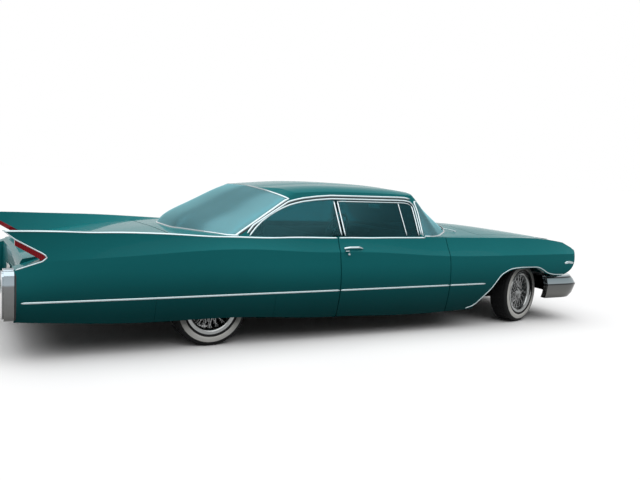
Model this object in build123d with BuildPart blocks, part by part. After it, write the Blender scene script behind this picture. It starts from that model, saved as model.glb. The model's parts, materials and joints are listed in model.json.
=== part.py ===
"""Long two-door hardtop coupe with tail fins, as separate panels on joints.

Millimetres. +X is forward, +Y is the car's left, +Z is up, and the origin is on
the ground under the middle of the car.
"""
import os
from math import cos, radians, sin

from build123d import *

os.makedirs("parts", exist_ok=True)

# ---- overall sizes
wheelbase = 3302.0
front_overhang = 851.0
rear_overhang = 1562.0
body_half = 1013.0          # half width at the fullest part of the side
sill_height = 200.0         # lowest edge of the body side, amidships
belt_height = 895.0         # shoulder of the body side, amidships
fin_height = 951.0          # top of the fin at the tail
roof_height = 1347.0
crease_height = 712.0       # crease along the front wing

front_end = (rear_overhang + wheelbase + front_overhang) / 2
rear_end = -front_end
rear_axle = rear_end + rear_overhang
front_axle = front_end - front_overhang

# ---- wheels and running gear
tyre_radius = 308.0
tyre_half = 100.0
rim_radius = 208.0
wheel_y = 745.0             # middle of the tread, wheels straight
kingpin_y = 690.0
rest_steer = 17.0           # the car is parked with its front wheels turned left
spindle_radius = 26.0
running_gap = 0.4
kingpin_radius = 24.0

# ---- seams and clearances
seam = 8.0                  # gap round doors and lids
spat_seam = 2.0             # gap round the rear wheel spats
door_thickness = 122.0
panel_skin = 52.0           # wings and quarters
lid_skin = 36.0             # hood and trunk lid
cowl_skin = 60.0
glass_skin = 8.0
glass_set = 6.0             # how far the side glass sits in from the pillar face
door_front = front_axle - 1020.0   # middle of the seam
door_length = 1186.0
door_rear = door_front - door_length
hood_back = front_axle - 506.0
hood_half = 735.0
nose_back = front_axle + 634.0
deck_front = rear_axle - 305.0
deck_back = rear_axle - 1440.0
deck_half = 785.0
tail_wall = rear_axle - 1405.0
tail_face = rear_axle - 1484.0
inner_taper = 22.0          # the door's inner rear corner is set forward

spat_half = 495.0           # rear wheel spat, from the axle to its seams
molding_height = 444.0
inner_face = body_half - door_thickness
ledge_y = 806.0             # inner edge of the belt ledge
cowl_half = 835.0
pillar_skin = 34.0
pillar_back = front_axle - 1290.0   # rear of the screen pillar's foot
glass_gap = 13.0            # door glass to quarter glass
cabin_curves = 452.0        # rise from belt to roof that the cabin's curves are given for
cabin_rise = (roof_height - belt_height) / cabin_curves
window_top = belt_height + 315.0 * cabin_rise
glass_split = 96.0          # from the door's rear seam to the end of its glass
arm_inner = 62.0            # hinge arms, measured from the hinge line
arm_outer = 84.0
arm_thick = 12.0
arm_sweep = 62.0
arm_y = 520.0
door_arm_heights = (400.0, 700.0)
hinge_y = body_half - 5.0
house_radius = 372.0        # wheel houses
house_skin = 12.0
front_house_y = 455.0
rear_house_y = 598.0
step_place = rear_axle + house_radius + 2.0     # step in the floor ahead of the rear wheels
lip_height = 690.0          # lower edge of the hood's nose
grille_half = 556.0
lamp_height = 612.0
lamp_radius = 74.0
lamp_places = (632.0, 800.0)
tail_sill = 560.0           # lower edge of the trunk lid
hood_hinge_z = belt_height + 56.0
trunk_hinge_z = belt_height + 22.0
plate_spacing = 177.8       # number plate screws
plate_height = 516.0
plate_hole = 3.3
column_tilt = 26.5
wheel_centre = (front_axle - 1481.0, 380.0, 820.0)
steer_radius = 205.0
rail_y = 345.0
rail_half = 35.0
floor_height = 280.0
floor_skin = 25.0

top = 1500.0                # above everything
far = 1300.0                # outside everything


def fore(d):
    """Place measured from the front axle."""
    return front_axle + d


def aft(d):
    """Place measured from the rear axle."""
    return rear_axle + d


def cross(x):
    """Plane across the car: local x is +Y, local y is +Z."""
    return Plane(origin=(x, 0, 0), x_dir=(0, 1, 0), z_dir=(1, 0, 0))


def side(y):
    """Plane along the car facing right: local x is +X, local y is +Z."""
    return Plane(origin=(0, y, 0), x_dir=(1, 0, 0), z_dir=(0, -1, 0))


# ---- body sections: place, bottom height and tuck, belly tuck and height, crease tuck and
# ---- height, shoulder tuck and height, valley half width and height, height on the centre line
def body_sections():
    mid = (front_axle + rear_axle) / 2
    fin, belt, crease, sill = fin_height, belt_height, crease_height, sill_height
    return [
        (rear_end + 6, sill + 106, 95, 48, 480, 78, crease + 8, 88, fin, 850, belt - 182, belt - 168),
        (aft(-1205), sill + 82, 85, 28, 500, 48, crease + 26, 83, fin - 1, 836, belt - 130, belt - 116),
        (aft(-805), sill + 57, 78, 13, 520, 28, crease + 48, 81, fin - 7, 830, belt - 63, belt - 49),
        (aft(-405), sill + 50, 72, 3, 540, 23, crease + 73, 81, fin - 19, 834, belt - 15, belt + 4),
        (aft(-5), sill + 52, 70, 0, 560, 26, crease + 94, 83, fin - 39, 850, belt + 8, belt + 30),
        (aft(495), sill + 32, 70, 0, 560, 31, crease + 84, 87, belt + 4, 862, belt - 1, belt + 12),
        (mid - 455, sill + 1, 70, 3, 555, 33, crease + 58, 92, belt, 850, belt - 6, belt + 5),
        (mid + 145, sill - 20, 70, 5, 548, 30, crease + 33, 104, belt - 2, 835, belt - 6, belt + 10),
        (fore(-1006), sill - 16, 72, 8, 540, 28, crease + 6, 120, belt - 9, 815, belt - 2, belt + 30),
        (fore(-556), sill - 6, 74, 10, 530, 28, crease, 128, belt - 16, 775, belt - 2, belt + 50),
        (fore(-6), sill + 5, 80, 14, 520, 33, crease, 133, belt - 21, 752, belt - 15, belt + 22),
        (fore(394), sill + 40, 92, 23, 510, 45, crease, 143, belt - 50, 740, belt - 47, belt - 24),
        (fore(800), sill + 70, 115, 48, 500, 73, crease - 12, 163, belt - 122, 722, belt - 118, belt - 108),
    ]


def half_body():
    """Left half of the closed body, before seams, arches and windows."""
    cap = 22.0
    with BuildPart() as half:
        for x, zb, tb, tm, zm, tc, zc, ts, zs, yv, zv, zk in body_sections():
            foot, belly, crease = (body_half - tb, zb), (body_half - tm, zm), (body_half - tc, zc)
            shoulder, inner = (body_half - ts, zs), (body_half - ts - cap, zs)
            waist = ((crease[0] + shoulder[0]) / 2 - 5, (zc + zs) / 2)
            slope = ((inner[0] + yv) / 2 - 0.1 * (inner[0] - yv), zv + 0.36 * (zs - zv))
            with BuildSketch(cross(x)):
                with BuildLine():
                    Line((0, zb), foot)
                    Spline(foot, belly, crease, tangents=[(0.35, 1), (-0.16, 1)])
                    Spline(crease, waist, shoulder)
                    Line(shoulder, inner)
                    Spline(inner, slope, (yv, zv))
                    halfway = (yv * 0.5, zv + 0.75 * (zk - zv))
                    Spline((yv, zv), halfway, (0, zk), tangents=[(-1, 0.1), (-1, 0)])
                    Line((0, zk), (0, zb))
                make_face()
        loft()
    return half.part


def half_hollow(skin):
    """What a panel of this thickness leaves free inside the left half, open below."""
    with BuildPart() as half:
        for x, zb, tb, tm, zm, tc, zc, ts, zs, yv, zv, zk in body_sections():
            side_in = body_half - skin
            foot, belly = (side_in - tb, zb - 90), (side_in - tm, zm)
            crease = (side_in - tc, zc - 25)
            roof = (yv - 18, min(zv, zs) - skin)
            with BuildSketch(cross(x)):
                with BuildLine():
                    Line((0, zb - 90), foot)
                    Spline(foot, belly, crease, tangents=[(0.25, 1), (-0.16, 1)])
                    Line(crease, roof)
                    Line(roof, (0, zk - skin))
                    Line((0, zk - skin), (0, zb - 90))
                make_face()
        loft()
    return half.part


def side_prism(points, y0, y1):
    """Prism with this side outline, from y0 to y1."""
    with BuildPart() as prism:
        with BuildSketch(side(y0)):
            with BuildLine():
                Polyline(*points, close=True)
            make_face()
        extrude(amount=-(y1 - y0))
    return prism.part


def block(x0, x1, y0, y1, z0, z1):
    """Box between two corners."""
    with BuildPart() as box:
        with Locations(((x0 + x1) / 2, (y0 + y1) / 2, (z0 + z1) / 2)):
            Box(x1 - x0, y1 - y0, z1 - z0)
    return box.part


def disc(x, z, radius, y0, y1):
    """Round bar across the car."""
    with BuildPart() as bar:
        with BuildSketch(side(y0)):
            with Locations((x, z)):
                Circle(radius)
        extrude(amount=-(y1 - y0))
    return bar.part


def shared(shape, limit):
    """What two shapes have in common."""
    with BuildPart() as piece:
        add(shape)
        add(limit, mode=Mode.INTERSECT)
    return piece.part


def both_sides(solid):
    """The solid and its mirror image across the middle of the car."""
    with BuildPart() as pair:
        add(solid)
        mirror(about=Plane.XZ)
    return pair


# ---- cabin glass: height, front middle, front corner, corner half width, rear middle, rear corner
def risen(z):
    """Height above the belt, for a cabin as tall as its curves are given for."""
    return belt_height + z * cabin_rise


def glass_levels():
    return [
        (belt_height - 75, fore(-420), fore(-1216), 890, aft(-325), aft(40)),
        (risen(45), fore(-607), fore(-1241), 847, aft(-180), aft(246)),
        (risen(115), fore(-722), fore(-1256), 818, aft(-120), aft(366)),
        (risen(235), fore(-918), fore(-1284), 768, aft(108), aft(573)),
        (risen(317), fore(-1048), fore(-1311), 734, aft(268), aft(713)),
        (risen(367), fore(-1138), fore(-1336), 713, aft(378), aft(799)),
        (roof_height + 53, fore(-1300), fore(-1406), 656, aft(655), aft(1035)),
    ]


def bow(ratio):
    """How far round the screen has come at this share of its half width."""
    return (1 - ratio ** 1.7) ** (1 / 1.7)


def half_glasshouse(inset):
    """Left half of the cabin above the belt, its faces set in by this much."""
    with BuildPart() as half:
        for z, front, front_side, y, rear, rear_side in glass_levels():
            front, rear, y = front - 1.7 * inset, rear + 1.9 * inset, y - inset
            ratios = (0.4, 0.7, 0.9)
            nose = [(front_side + (front - front_side) * bow(r), y * r) for r in ratios]
            tail = [(rear_side + (rear - rear_side) * bow(r), y * r) for r in reversed(ratios)]
            with BuildSketch(Plane.XY.offset(z)):
                with BuildLine():
                    Spline((front, 0), *nose, (front_side, y), tangents=[(0, 1), (-1, 0)])
                    Line((front_side, y), (rear_side, y))
                    Spline((rear_side, y), *tail, (rear, 0), tangents=[(-1, 0), (0, -1)])
                    Line((rear, 0), (front, 0))
                make_face()
        loft()
    return half.part


def half_crown(drop):
    """Everything under the left half of the roof skin, lowered by this much."""
    midway = aft(1045) + 0.5526 * (fore(-1430) - aft(1045))
    rows = [
        (aft(-500), 190, 270), (aft(150), 92, 165), (aft(445), 52, 132), (aft(735), 26, 108),
        (aft(1045), 3, 96), (midway, 2, 94), (fore(-1430), 20, 98), (fore(-1160), 62, 111),
        (fore(-1000), 96, 134), (fore(-300), 230, 280),
    ]
    edge = 740.0
    with BuildPart() as half:
        for x, middle_fall, rim_fall in rows:
            middle = roof_height - drop - middle_fall * cabin_rise
            rim = roof_height - drop - rim_fall * cabin_rise
            fall = middle - rim
            with BuildSketch(cross(x)):
                with BuildLine():
                    Line((0, 700), (1000, 700))
                    Line((1000, 700), (1000, rim - 60))
                    Line((1000, rim - 60), (edge, rim))
                    Spline(
                        (edge, rim), (edge - 60, rim + 0.42 * fall), (edge * 0.55, middle - 0.17 * fall),
                        (0, middle), tangents=[(-1, 0.9), (-1, 0)],
                    )
                    Line((0, middle), (0, 700))
                make_face()
        loft()
    return half.part


def half_cabin(inset):
    """Left half of the glass and roof as one closed shape, faces set in by this much."""
    with BuildPart() as half:
        add(half_glasshouse(inset))
        add(half_crown(inset), mode=Mode.INTERSECT)
    return half.part


# ---- outlines of the cabin openings, seen from the side
def side_opening():
    with BuildPart() as prism:
        with BuildSketch(side(100)):
            with BuildLine():
                start = (aft(296), belt_height - 60)
                Polyline(start, (aft(305), belt_height + 5), (aft(427), risen(119)))
                Spline(
                    (aft(427), risen(119)), (aft(560), risen(197)),
                    (aft(700), risen(255)), (aft(840), risen(287)),
                    (aft(1120), window_top),
                    tangents=[(1, 0.75), (1, 0.02)],
                )
                Line((aft(1120), window_top), (fore(-1480), window_top))
                Spline(
                    (fore(-1480), window_top), (fore(-1352), risen(307)),
                    (fore(-1312), risen(255)), tangents=[(1, 0), (0.1, -1)],
                )
                Polyline((fore(-1312), risen(255)), (fore(-1284), belt_height - 60), start)
            make_face()
        extrude(amount=-900)
    return prism.part


def screen_opening():
    points = [
        (fore(-1246), belt_height - 8), (fore(-1262), risen(252)), (fore(-1290), risen(310)),
        (fore(-1080), risen(346)), (fore(-300), risen(356)), (fore(-300), belt_height - 8),
    ]
    return side_prism(points, 0, 1000)


def rear_opening():
    points = [
        (aft(155), belt_height - 15), (aft(676), risen(292)), (aft(693), risen(308)),
        (aft(500), risen(406)), (aft(-500), roof_height), (aft(-500), belt_height - 15),
    ]
    return side_prism(points, 0, 1000)


def front_arch():
    """Front wheel opening and the low edge of the wing ahead of it."""
    with BuildPart() as prism:
        with BuildSketch(side(400)):
            with BuildLine():
                Spline(
                    (fore(-758), sill_height - 60), (fore(-673), 224), (fore(-498), 384), (fore(-400), 502),
                    (fore(-257), 570), (fore(-126), 581), tangents=[(1, 0.3), (1, 0)],
                )
                Spline(
                    (fore(-126), 581), (fore(100), 577), (fore(235), 517), (fore(330), 498),
                    (fore(560), 492), tangents=[(1, 0), (1, 0)],
                )
                Spline(
                    (fore(560), 492), (fore(644), 509), (fore(700), 548), (fore(722), 612),
                    (fore(707), 699), tangents=[(1, 0), (-0.3, 1)],
                )
                Polyline(
                    (fore(707), 699), (fore(690), 735), (fore(650), 772), (fore(560), 816), (fore(560), top),
                    (fore(900), top), (fore(900), 0), (fore(-758), 0), (fore(-758), sill_height - 60),
                )
            make_face()
        extrude(amount=-900)
    return prism.part


def notch_edge():
    """Edge of the vee from the top of the lens down to the pod."""
    belt = belt_height
    return [
        (aft(-1478), belt - 10), (aft(-1290), belt - 114), (aft(-1278), belt - 132),
        (aft(-1310), belt - 156), (tail_face, belt - 214),
    ]


def tail_notch():
    """Open vee between the fin and the pod below it."""
    points = [
        (aft(-1700), fin_height - 3), (aft(-1552), fin_height - 3), *notch_edge(),
        (tail_face, 0), (aft(-1700), 0),
    ]
    return side_prism(points, deck_half, far)


def spat_line(gap):
    """Rear wheel spat, seen from the side, grown by this gap."""
    back, front, head = aft(-spat_half) - gap, aft(spat_half) + gap, molding_height + gap
    return side_prism([(back, 0), (back, head), (front, head), (front, 0)], 860, far)


def door_line(gap):
    """Door outline from the side, grown by this gap."""
    front, rear = door_front + gap, door_rear - gap
    return [(front, 0), (front, top), (rear, top), (rear, 0)]


def inside_line():
    """Across the car, the room that doors and cabin walls leave inside."""
    return [
        (-10, 0), (inner_face, 0), (inner_face, 600), (ledge_y, belt_height - 60), (ledge_y, top),
        (-10, top),
    ]


def inside_prism(x0, x1):
    with BuildPart() as prism:
        with BuildSketch(cross(x0)):
            with BuildLine():
                Polyline(*inside_line(), close=True)
            make_face()
        extrude(amount=x1 - x0)
    return prism.part


def swing_arm(origin, axis, start, sweep, grow=0.0):
    """Curved hinge arm round a hinge line, from start over sweep degrees of turn."""
    plane = Plane(origin=origin, x_dir=start, z_dir=axis)
    inner, outer, thick = arm_inner - grow, arm_outer + grow, arm_thick / 2 + grow
    with BuildPart() as arm:
        with BuildSketch(plane):
            with BuildLine():
                a0, a1 = -grow, sweep + grow
                spots = [
                    (r * cos(radians(a)), r * sin(radians(a)))
                    for r in (inner, outer) for a in (a0, (a0 + a1) / 2, a1)
                ]
                ThreePointArc(spots[0], spots[1], spots[2])
                Line(spots[2], spots[5])
                ThreePointArc(spots[5], spots[4], spots[3])
                Line(spots[3], spots[0])
            make_face()
        extrude(amount=thick, both=True)
    return arm.part


def door_arms(grow=0.0):
    """The two hinge arms of the left door, which slide in slots in the pillar."""
    arms = []
    for z in door_arm_heights:
        arms.append(swing_arm((door_front, hinge_y, z), (0, 0, 1), (-0.18, -1, 0), arm_sweep, grow))
    return arms


def lid_arms(x, z, forward, grow=0.0):
    """Hinge arms of a lid at y = +-arm_y, reaching under the panel that stays."""
    axis = (0, -1, 0) if forward else (0, 1, 0)
    start = (-0.1, 0, -1) if forward else (0.1, 0, -1)
    return [swing_arm((x, y, z), axis, start, arm_sweep, grow) for y in (arm_y, -arm_y)]


# ---- shapes that several panels are cut from
body = half_body()
hollow = half_hollow(panel_skin)
lid_hollow = half_hollow(lid_skin)
cowl_hollow = half_hollow(cowl_skin)
pillar_outer = half_cabin(0)
pillar_inner = half_cabin(pillar_skin)
side_glass = half_cabin(glass_set) - half_cabin(glass_set + glass_skin)
end_glass = half_cabin(2) - half_cabin(2 + glass_skin)
notch = tail_notch()
arch = front_arch()


def save(piece, name):
    """Label a finished piece and write it."""
    piece.part.label = name
    export_step(piece.part, f"parts/{name}.step")
    print(name, len(piece.part.solids()), round(piece.part.volume / 1e6, 1), piece.part.is_valid)


def save_pair(left, name):
    """Write a left piece and its mirror image."""
    save(left, f"{name}_left")
    with BuildPart() as right:
        add(left.part)
        mirror(about=Plane.XZ, mode=Mode.REPLACE)
    save(right, f"{name}_right")


def screen_glass():
    with BuildPart() as half:
        add(end_glass)
        add(screen_opening(), mode=Mode.INTERSECT)
    return both_sides(half.part)


def rear_glass():
    with BuildPart() as half:
        add(end_glass)
        add(rear_opening(), mode=Mode.INTERSECT)
    return both_sides(half.part)


def door_glass():
    """Left door glass, with the vent pane in the same plane."""
    split = door_rear + glass_split
    high, low, gap = window_top - glass_gap / 2, belt_height - 55, glass_gap / 2
    front_top = (fore(-1312) - gap, risen(253))
    with BuildPart() as glass:
        add(side_glass)
        with BuildSketch(side(600)):
            with BuildLine():
                Polyline(
                    front_top, (fore(-1288) - gap, low), (split + 8, low), (split - 25, high),
                    (fore(-1484), high),
                )
                Spline(
                    (fore(-1484), high), (fore(-1352) - gap, risen(306) - gap), front_top,
                    tangents=[(1, 0), (0.1, -1)],
                )
            make_face()
        extrude(amount=-700, mode=Mode.INTERSECT)
    return glass


def quarter_glass():
    split = door_rear + glass_split - glass_gap
    edge = [
        (split + 3, belt_height + seam), (split - 27, risen(332)), (aft(200), risen(332)),
        (aft(200), belt_height - 40),
        (door_rear - 2 * seam, belt_height - 40), (door_rear - 2 * seam, belt_height + seam),
    ]
    with BuildPart() as glass:
        add(side_glass)
        add(side_prism(edge, 600, far), mode=Mode.INTERSECT)
        add(side_opening(), mode=Mode.INTERSECT)
    return glass


def roof_shell():
    """Roof skin with the slim pillars, standing on the body."""
    with BuildPart() as half:
        add(pillar_outer)
        add(pillar_inner, mode=Mode.SUBTRACT)
        add(screen_opening(), mode=Mode.SUBTRACT)
        add(rear_opening(), mode=Mode.SUBTRACT)
        add(side_opening(), mode=Mode.SUBTRACT)
        add(body, mode=Mode.SUBTRACT)
        add(block(aft(-900), front_end, -1, far, 0, belt_height - 16), mode=Mode.SUBTRACT)
    return both_sides(half.part)


def door(glass):
    """Left door: outer skin and full thickness, thin round the foot of the screen pillar."""
    with BuildPart() as shell:
        add(body)
        add(side_prism(door_line(-seam / 2), -10, far), mode=Mode.INTERSECT)
        add(inside_prism(door_rear - 100, door_front + 50), mode=Mode.SUBTRACT)
        with BuildSketch(Plane.XY):
            with BuildLine():
                x = door_rear + seam / 2
                Polyline((x, 925), (x, 700), (x + 60, 700), (x + inner_taper + 13, 780), close=True)
            make_face()
        extrude(amount=top, mode=Mode.SUBTRACT)
        with BuildSketch(Plane.XY):
            with BuildLine():
                x = door_rear + seam / 2
                Polyline((x, 955), (x, 860), (x + inner_taper, 860), close=True)
            make_face()
        extrude(amount=600, mode=Mode.SUBTRACT)
        add(block(pillar_back - 10, door_front, 700, 872, belt_height - 170, top), mode=Mode.SUBTRACT)
        add(glass, mode=Mode.SUBTRACT)
        add(door_arms())
    return shell


def front_wing():
    """Left front wing: side, crown, wheel house and the solid nose that carries the lamps."""
    x0 = door_front + seam / 2
    room = shared(hollow, block(0, nose_back, -10, far, 0, top))
    with BuildPart() as wing:
        add(body)
        add(block(x0, front_end, -10, far, 0, top), mode=Mode.INTERSECT)
        add(room, mode=Mode.SUBTRACT)
        add(block(0, hood_back, -10, cowl_half, 0, top), mode=Mode.SUBTRACT)
        add(block(hood_back - 1, nose_back, -10, hood_half, 0, top), mode=Mode.SUBTRACT)
        add(block(nose_back - 1, front_end + 9, -10, hood_half, lip_height - 6, top), mode=Mode.SUBTRACT)
        add(block(nose_back - 1, front_end + 9, -10, grille_half, 0, top), mode=Mode.SUBTRACT)
        add(wheel_house(front_axle, front_house_y, 700))
        add(arch, mode=Mode.SUBTRACT)
        add(nose_corner(), mode=Mode.SUBTRACT)
        for slot in door_arms(running_gap):
            add(slot, mode=Mode.SUBTRACT)
        for y in lamp_places:
            add(lamp_bore(y), mode=Mode.SUBTRACT)
    return wing


def nose_corner():
    """What is outside the rounded corner of the nose, which draws in above and below the lamps."""
    with BuildPart() as corner:
        for z, back in ((400, 180), (530, 60), (570, 13), (625, -9), (690, -8), (760, 6), (900, 85)):
            ends = (fore(440) - back, body_half), (fore(735) - back / 4, 760)
            with BuildSketch(Plane.XY.offset(z)):
                with BuildLine():
                    Spline(
                        ends[0], (fore(620) - back, 968), (fore(694) - back, 893), ends[1],
                        tangents=[(1, -0.05), (0.02, -1)],
                    )
                    Polyline(ends[1], (fore(900), 760), (fore(900), far), (fore(200), far), ends[0])
                make_face()
        loft()
    return corner.part


def wheel_house(x, y, reach):
    """Arched liner over a wheel, joined to the panel outside it."""
    with BuildPart() as house:
        add(disc(x, tyre_radius, house_radius + house_skin, y, y + reach))
        add(disc(x, tyre_radius, house_radius, y + house_skin, y + reach + 1), mode=Mode.SUBTRACT)
        add(block(x - 500, x + 500, y - 1, far, 0, tyre_radius + 20), mode=Mode.SUBTRACT)
        add(body, mode=Mode.INTERSECT)
    return house.part


def lamp_bore(y, shrink=0.0, x1=None):
    """Round bar along the car for one headlamp."""
    with BuildPart() as bar:
        with BuildSketch(cross(fore(672))):
            with Locations((y, lamp_height)):
                Circle(lamp_radius - shrink)
        extrude(amount=(x1 or fore(900)) - fore(672))
    return bar.part


def quarter(glass, back_glass):
    """Left quarter: side behind the door, fin, belt ledge and rear wheel house."""
    room = shared(hollow, block(tail_wall, aft(400), -10, far, 0, top))
    with BuildPart() as panel:
        add(body)
        add(block(rear_end - 10, door_front, -10, far, 0, top), mode=Mode.INTERSECT)
        add(side_prism(door_line(seam / 2), -10, far), mode=Mode.SUBTRACT)
        add(block(door_rear + 60, door_front + 20, -10, far, 0, top), mode=Mode.SUBTRACT)
        add(room, mode=Mode.SUBTRACT)
        add(inside_prism(aft(400) - 1, door_front), mode=Mode.SUBTRACT)
        add(block(rear_end - 10, aft(400), -10, deck_half, 0, top), mode=Mode.SUBTRACT)
        add(wheel_house(rear_axle, rear_house_y, 600))
        add(notch, mode=Mode.SUBTRACT)
        add(spat_line(spat_seam), mode=Mode.SUBTRACT)
        opening = block(aft(-spat_half) + 40, aft(spat_half) - 40, 590, far, 0, molding_height - 60)
        add(opening, mode=Mode.SUBTRACT)
        add(glass, mode=Mode.SUBTRACT)
        add(back_glass, mode=Mode.SUBTRACT)
    return panel


def spats():
    """Covers over the rear wheels, each on two tabs."""
    with BuildPart() as spat:
        add(body)
        add(spat_line(0), mode=Mode.INTERSECT)
        add(half_hollow(30), mode=Mode.SUBTRACT)
        for x in (aft(-300), aft(300)):
            add(block(x - 30, x + 30, 962, 974, molding_height - 20, molding_height + spat_seam))
    return both_sides(spat.part)


def pillar_foot(x0):
    """Foot of the left screen pillar, reaching back over the front of the door."""
    with BuildPart() as foot:
        add(block(pillar_back, x0, 775, 862, belt_height - 155, top))
        add(block(x0 - 1, x0 + 40, 775, cowl_half, belt_height - 155, top))
        add(body, mode=Mode.INTERSECT)
    return foot.part


def hinge_pillar(x0):
    """Left pillar that the door hangs on."""
    with BuildPart() as pillar:
        add(block(x0, x0 + 92, 790, far, 216, belt_height - 20))
        add(hollow, mode=Mode.INTERSECT)
        add(block(x0 - 1, x0 + 95, 0, far, belt_height - 40, top), mode=Mode.SUBTRACT)
    return pillar.part


def cowl(glass, floor_part):
    """Panel before the screen, with the bulkhead, hinge pillars and pillar feet."""
    x0, x1 = door_front + seam / 2, hood_back - seam / 2
    room = shared(cowl_hollow, block(0, front_axle, -10, far, 0, top))
    with BuildPart() as half:
        add(body)
        add(block(x0, x1, -10, cowl_half, 0, top), mode=Mode.INTERSECT)
        add(room, mode=Mode.SUBTRACT)
        add(pillar_foot(x0))
        add(hinge_pillar(x0))
        add(shared(hollow, block(fore(-872), fore(-846), -1, 880, floor_height, top)))
        add(floor_part, mode=Mode.SUBTRACT)
        for slot in door_arms(running_gap):
            add(slot, mode=Mode.SUBTRACT)
        add(glass, mode=Mode.SUBTRACT)
    panel = both_sides(half.part)
    with panel:
        for arm in lid_arms(hood_back, hood_hinge_z, True, running_gap):
            add(arm, mode=Mode.SUBTRACT)
    return panel


def hood():
    """Lid over the engine, hinged at its rear edge, with its nose turned down."""
    x0 = hood_back + seam / 2
    under = [
        (0, 0), (fore(699), 0), (fore(699), lip_height + 16), (fore(655), 762), (fore(560), 836),
        (fore(560), top), (0, top),
    ]
    room = shared(lid_hollow, side_prism(under, -10, far))
    with BuildPart() as half:
        add(body)
        with BuildSketch(side(-10)):
            with BuildLine():
                brow, tip = (fore(590), 880), (fore(735), lip_height)
                Polyline(tip, (x0, lip_height), (x0, top), (fore(590), top), brow)
                Spline(brow, (fore(690), 788), tip, tangents=[(1, -0.3), (0, -1)])
            make_face()
        extrude(amount=-(hood_half - seam + 10), mode=Mode.INTERSECT)
        add(room, mode=Mode.SUBTRACT)
    lid = both_sides(half.part)
    with lid:
        for arm in lid_arms(hood_back, hood_hinge_z, True):
            add(arm)
    return lid


def trunk_lid():
    """Lid over the luggage, hinged at its front edge, with its tail turned down."""
    x1 = deck_front - seam / 2
    room = shared(lid_hollow, block(tail_wall, 0, -10, far, 0, top))
    with BuildPart() as half:
        add(body)
        with BuildSketch(side(-10)):
            with BuildLine():
                edge, foot = (deck_back + 90, 760), (deck_back, 640)
                Polyline(
                    foot, (deck_back, tail_sill), (x1, tail_sill), (x1, top), (deck_back + 90, top), edge,
                )
                Spline(edge, (deck_back + 18, 725), foot, tangents=[(-1, 0), (0, -1)])
            make_face()
        extrude(amount=-(deck_half - seam + 10), mode=Mode.INTERSECT)
        add(room, mode=Mode.SUBTRACT)
    lid = both_sides(half.part)
    with lid:
        for arm in lid_arms(deck_front, trunk_hinge_z, False):
            add(arm)
    return lid


def rear_deck(glass):
    """Panel between the rear glass and the trunk lid, with the parcel shelf."""
    with BuildPart() as half:
        add(body)
        add(block(deck_front + seam / 2, aft(330), -10, deck_half, 0, top), mode=Mode.INTERSECT)
        add(cowl_hollow, mode=Mode.SUBTRACT)
        add(block(rear_end, 0, -10, far, 0, belt_height - 70), mode=Mode.SUBTRACT)
        add(glass, mode=Mode.SUBTRACT)
    panel = both_sides(half.part)
    with panel:
        for arm in lid_arms(deck_front, trunk_hinge_z, False, running_gap):
            add(arm, mode=Mode.SUBTRACT)
    return panel


def tail_panel():
    """Body end below the trunk lid."""
    with BuildPart() as half:
        add(hollow)
        slab = block(deck_back, tail_wall, -10, deck_half, sill_height + 130, tail_sill - seam)
        add(slab, mode=Mode.INTERSECT)
        with BuildSketch(cross(deck_back)):
            with Locations((plate_spacing / 2, plate_height)):
                Circle(plate_hole)
        extrude(amount=tail_wall - deck_back, mode=Mode.SUBTRACT)
    return both_sides(half.part)


def floor():
    """Floor pan with the sills, the step over the axle and the trunk floor."""
    z, t = floor_height, floor_skin
    step = step_place
    path = [
        (tail_wall, 390), (aft(-470), 390), (aft(-420), 470), (step, 470), (step + 4, z), (fore(-846), z),
        (fore(-846), z + t), (step + 30, z + t), (step + 26, 470 + t), (aft(-434), 470 + t),
        (aft(-484), 390 + t), (tail_wall, 390 + t),
    ]
    with BuildPart() as half:
        add(side_prism(path, -10, far))
        add(hollow, mode=Mode.INTERSECT)
        add(block(step + 4, front_end, inner_face - 12, far, 0, top), mode=Mode.SUBTRACT)
        add(block(step + 4, door_front + 40, inner_face - 90, inner_face - 12, sill_height + 20, z + 50))
        add(block(aft(-430), step + 4, rear_house_y, far, 0, top), mode=Mode.SUBTRACT)
    return both_sides(half.part)


def chassis():
    """Two rails swept up over the axles, with cross members and bumper seats."""
    z1 = floor_height
    lower = [
        (tail_wall, 310), (aft(-480), 310), (aft(-300), 400), (aft(220), 400), (aft(310), 200),
        (fore(-620), 200), (fore(-420), 250), (fore(630), 250),
    ]
    upper = [
        (fore(630), 330), (fore(-480), 330), (fore(-620), z1), (step_place - 8, z1),
        (step_place - 8, 470), (aft(-420), 470), (aft(-470), 390), (tail_wall, 390),
    ]
    with BuildPart() as frame:
        add(side_prism(lower + upper, rail_y - rail_half, rail_y + rail_half))
        mirror(about=Plane.XZ)
        for x, z in ((tail_wall + 40, 350), (aft(-560), 350), (aft(560), 230), (fore(-1500), 230),
                     (fore(-760), 230), (fore(560), 290)):
            add(block(x - 30, x + 30, -rail_y, rail_y, z - 28, z + 28))
    return frame


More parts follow.
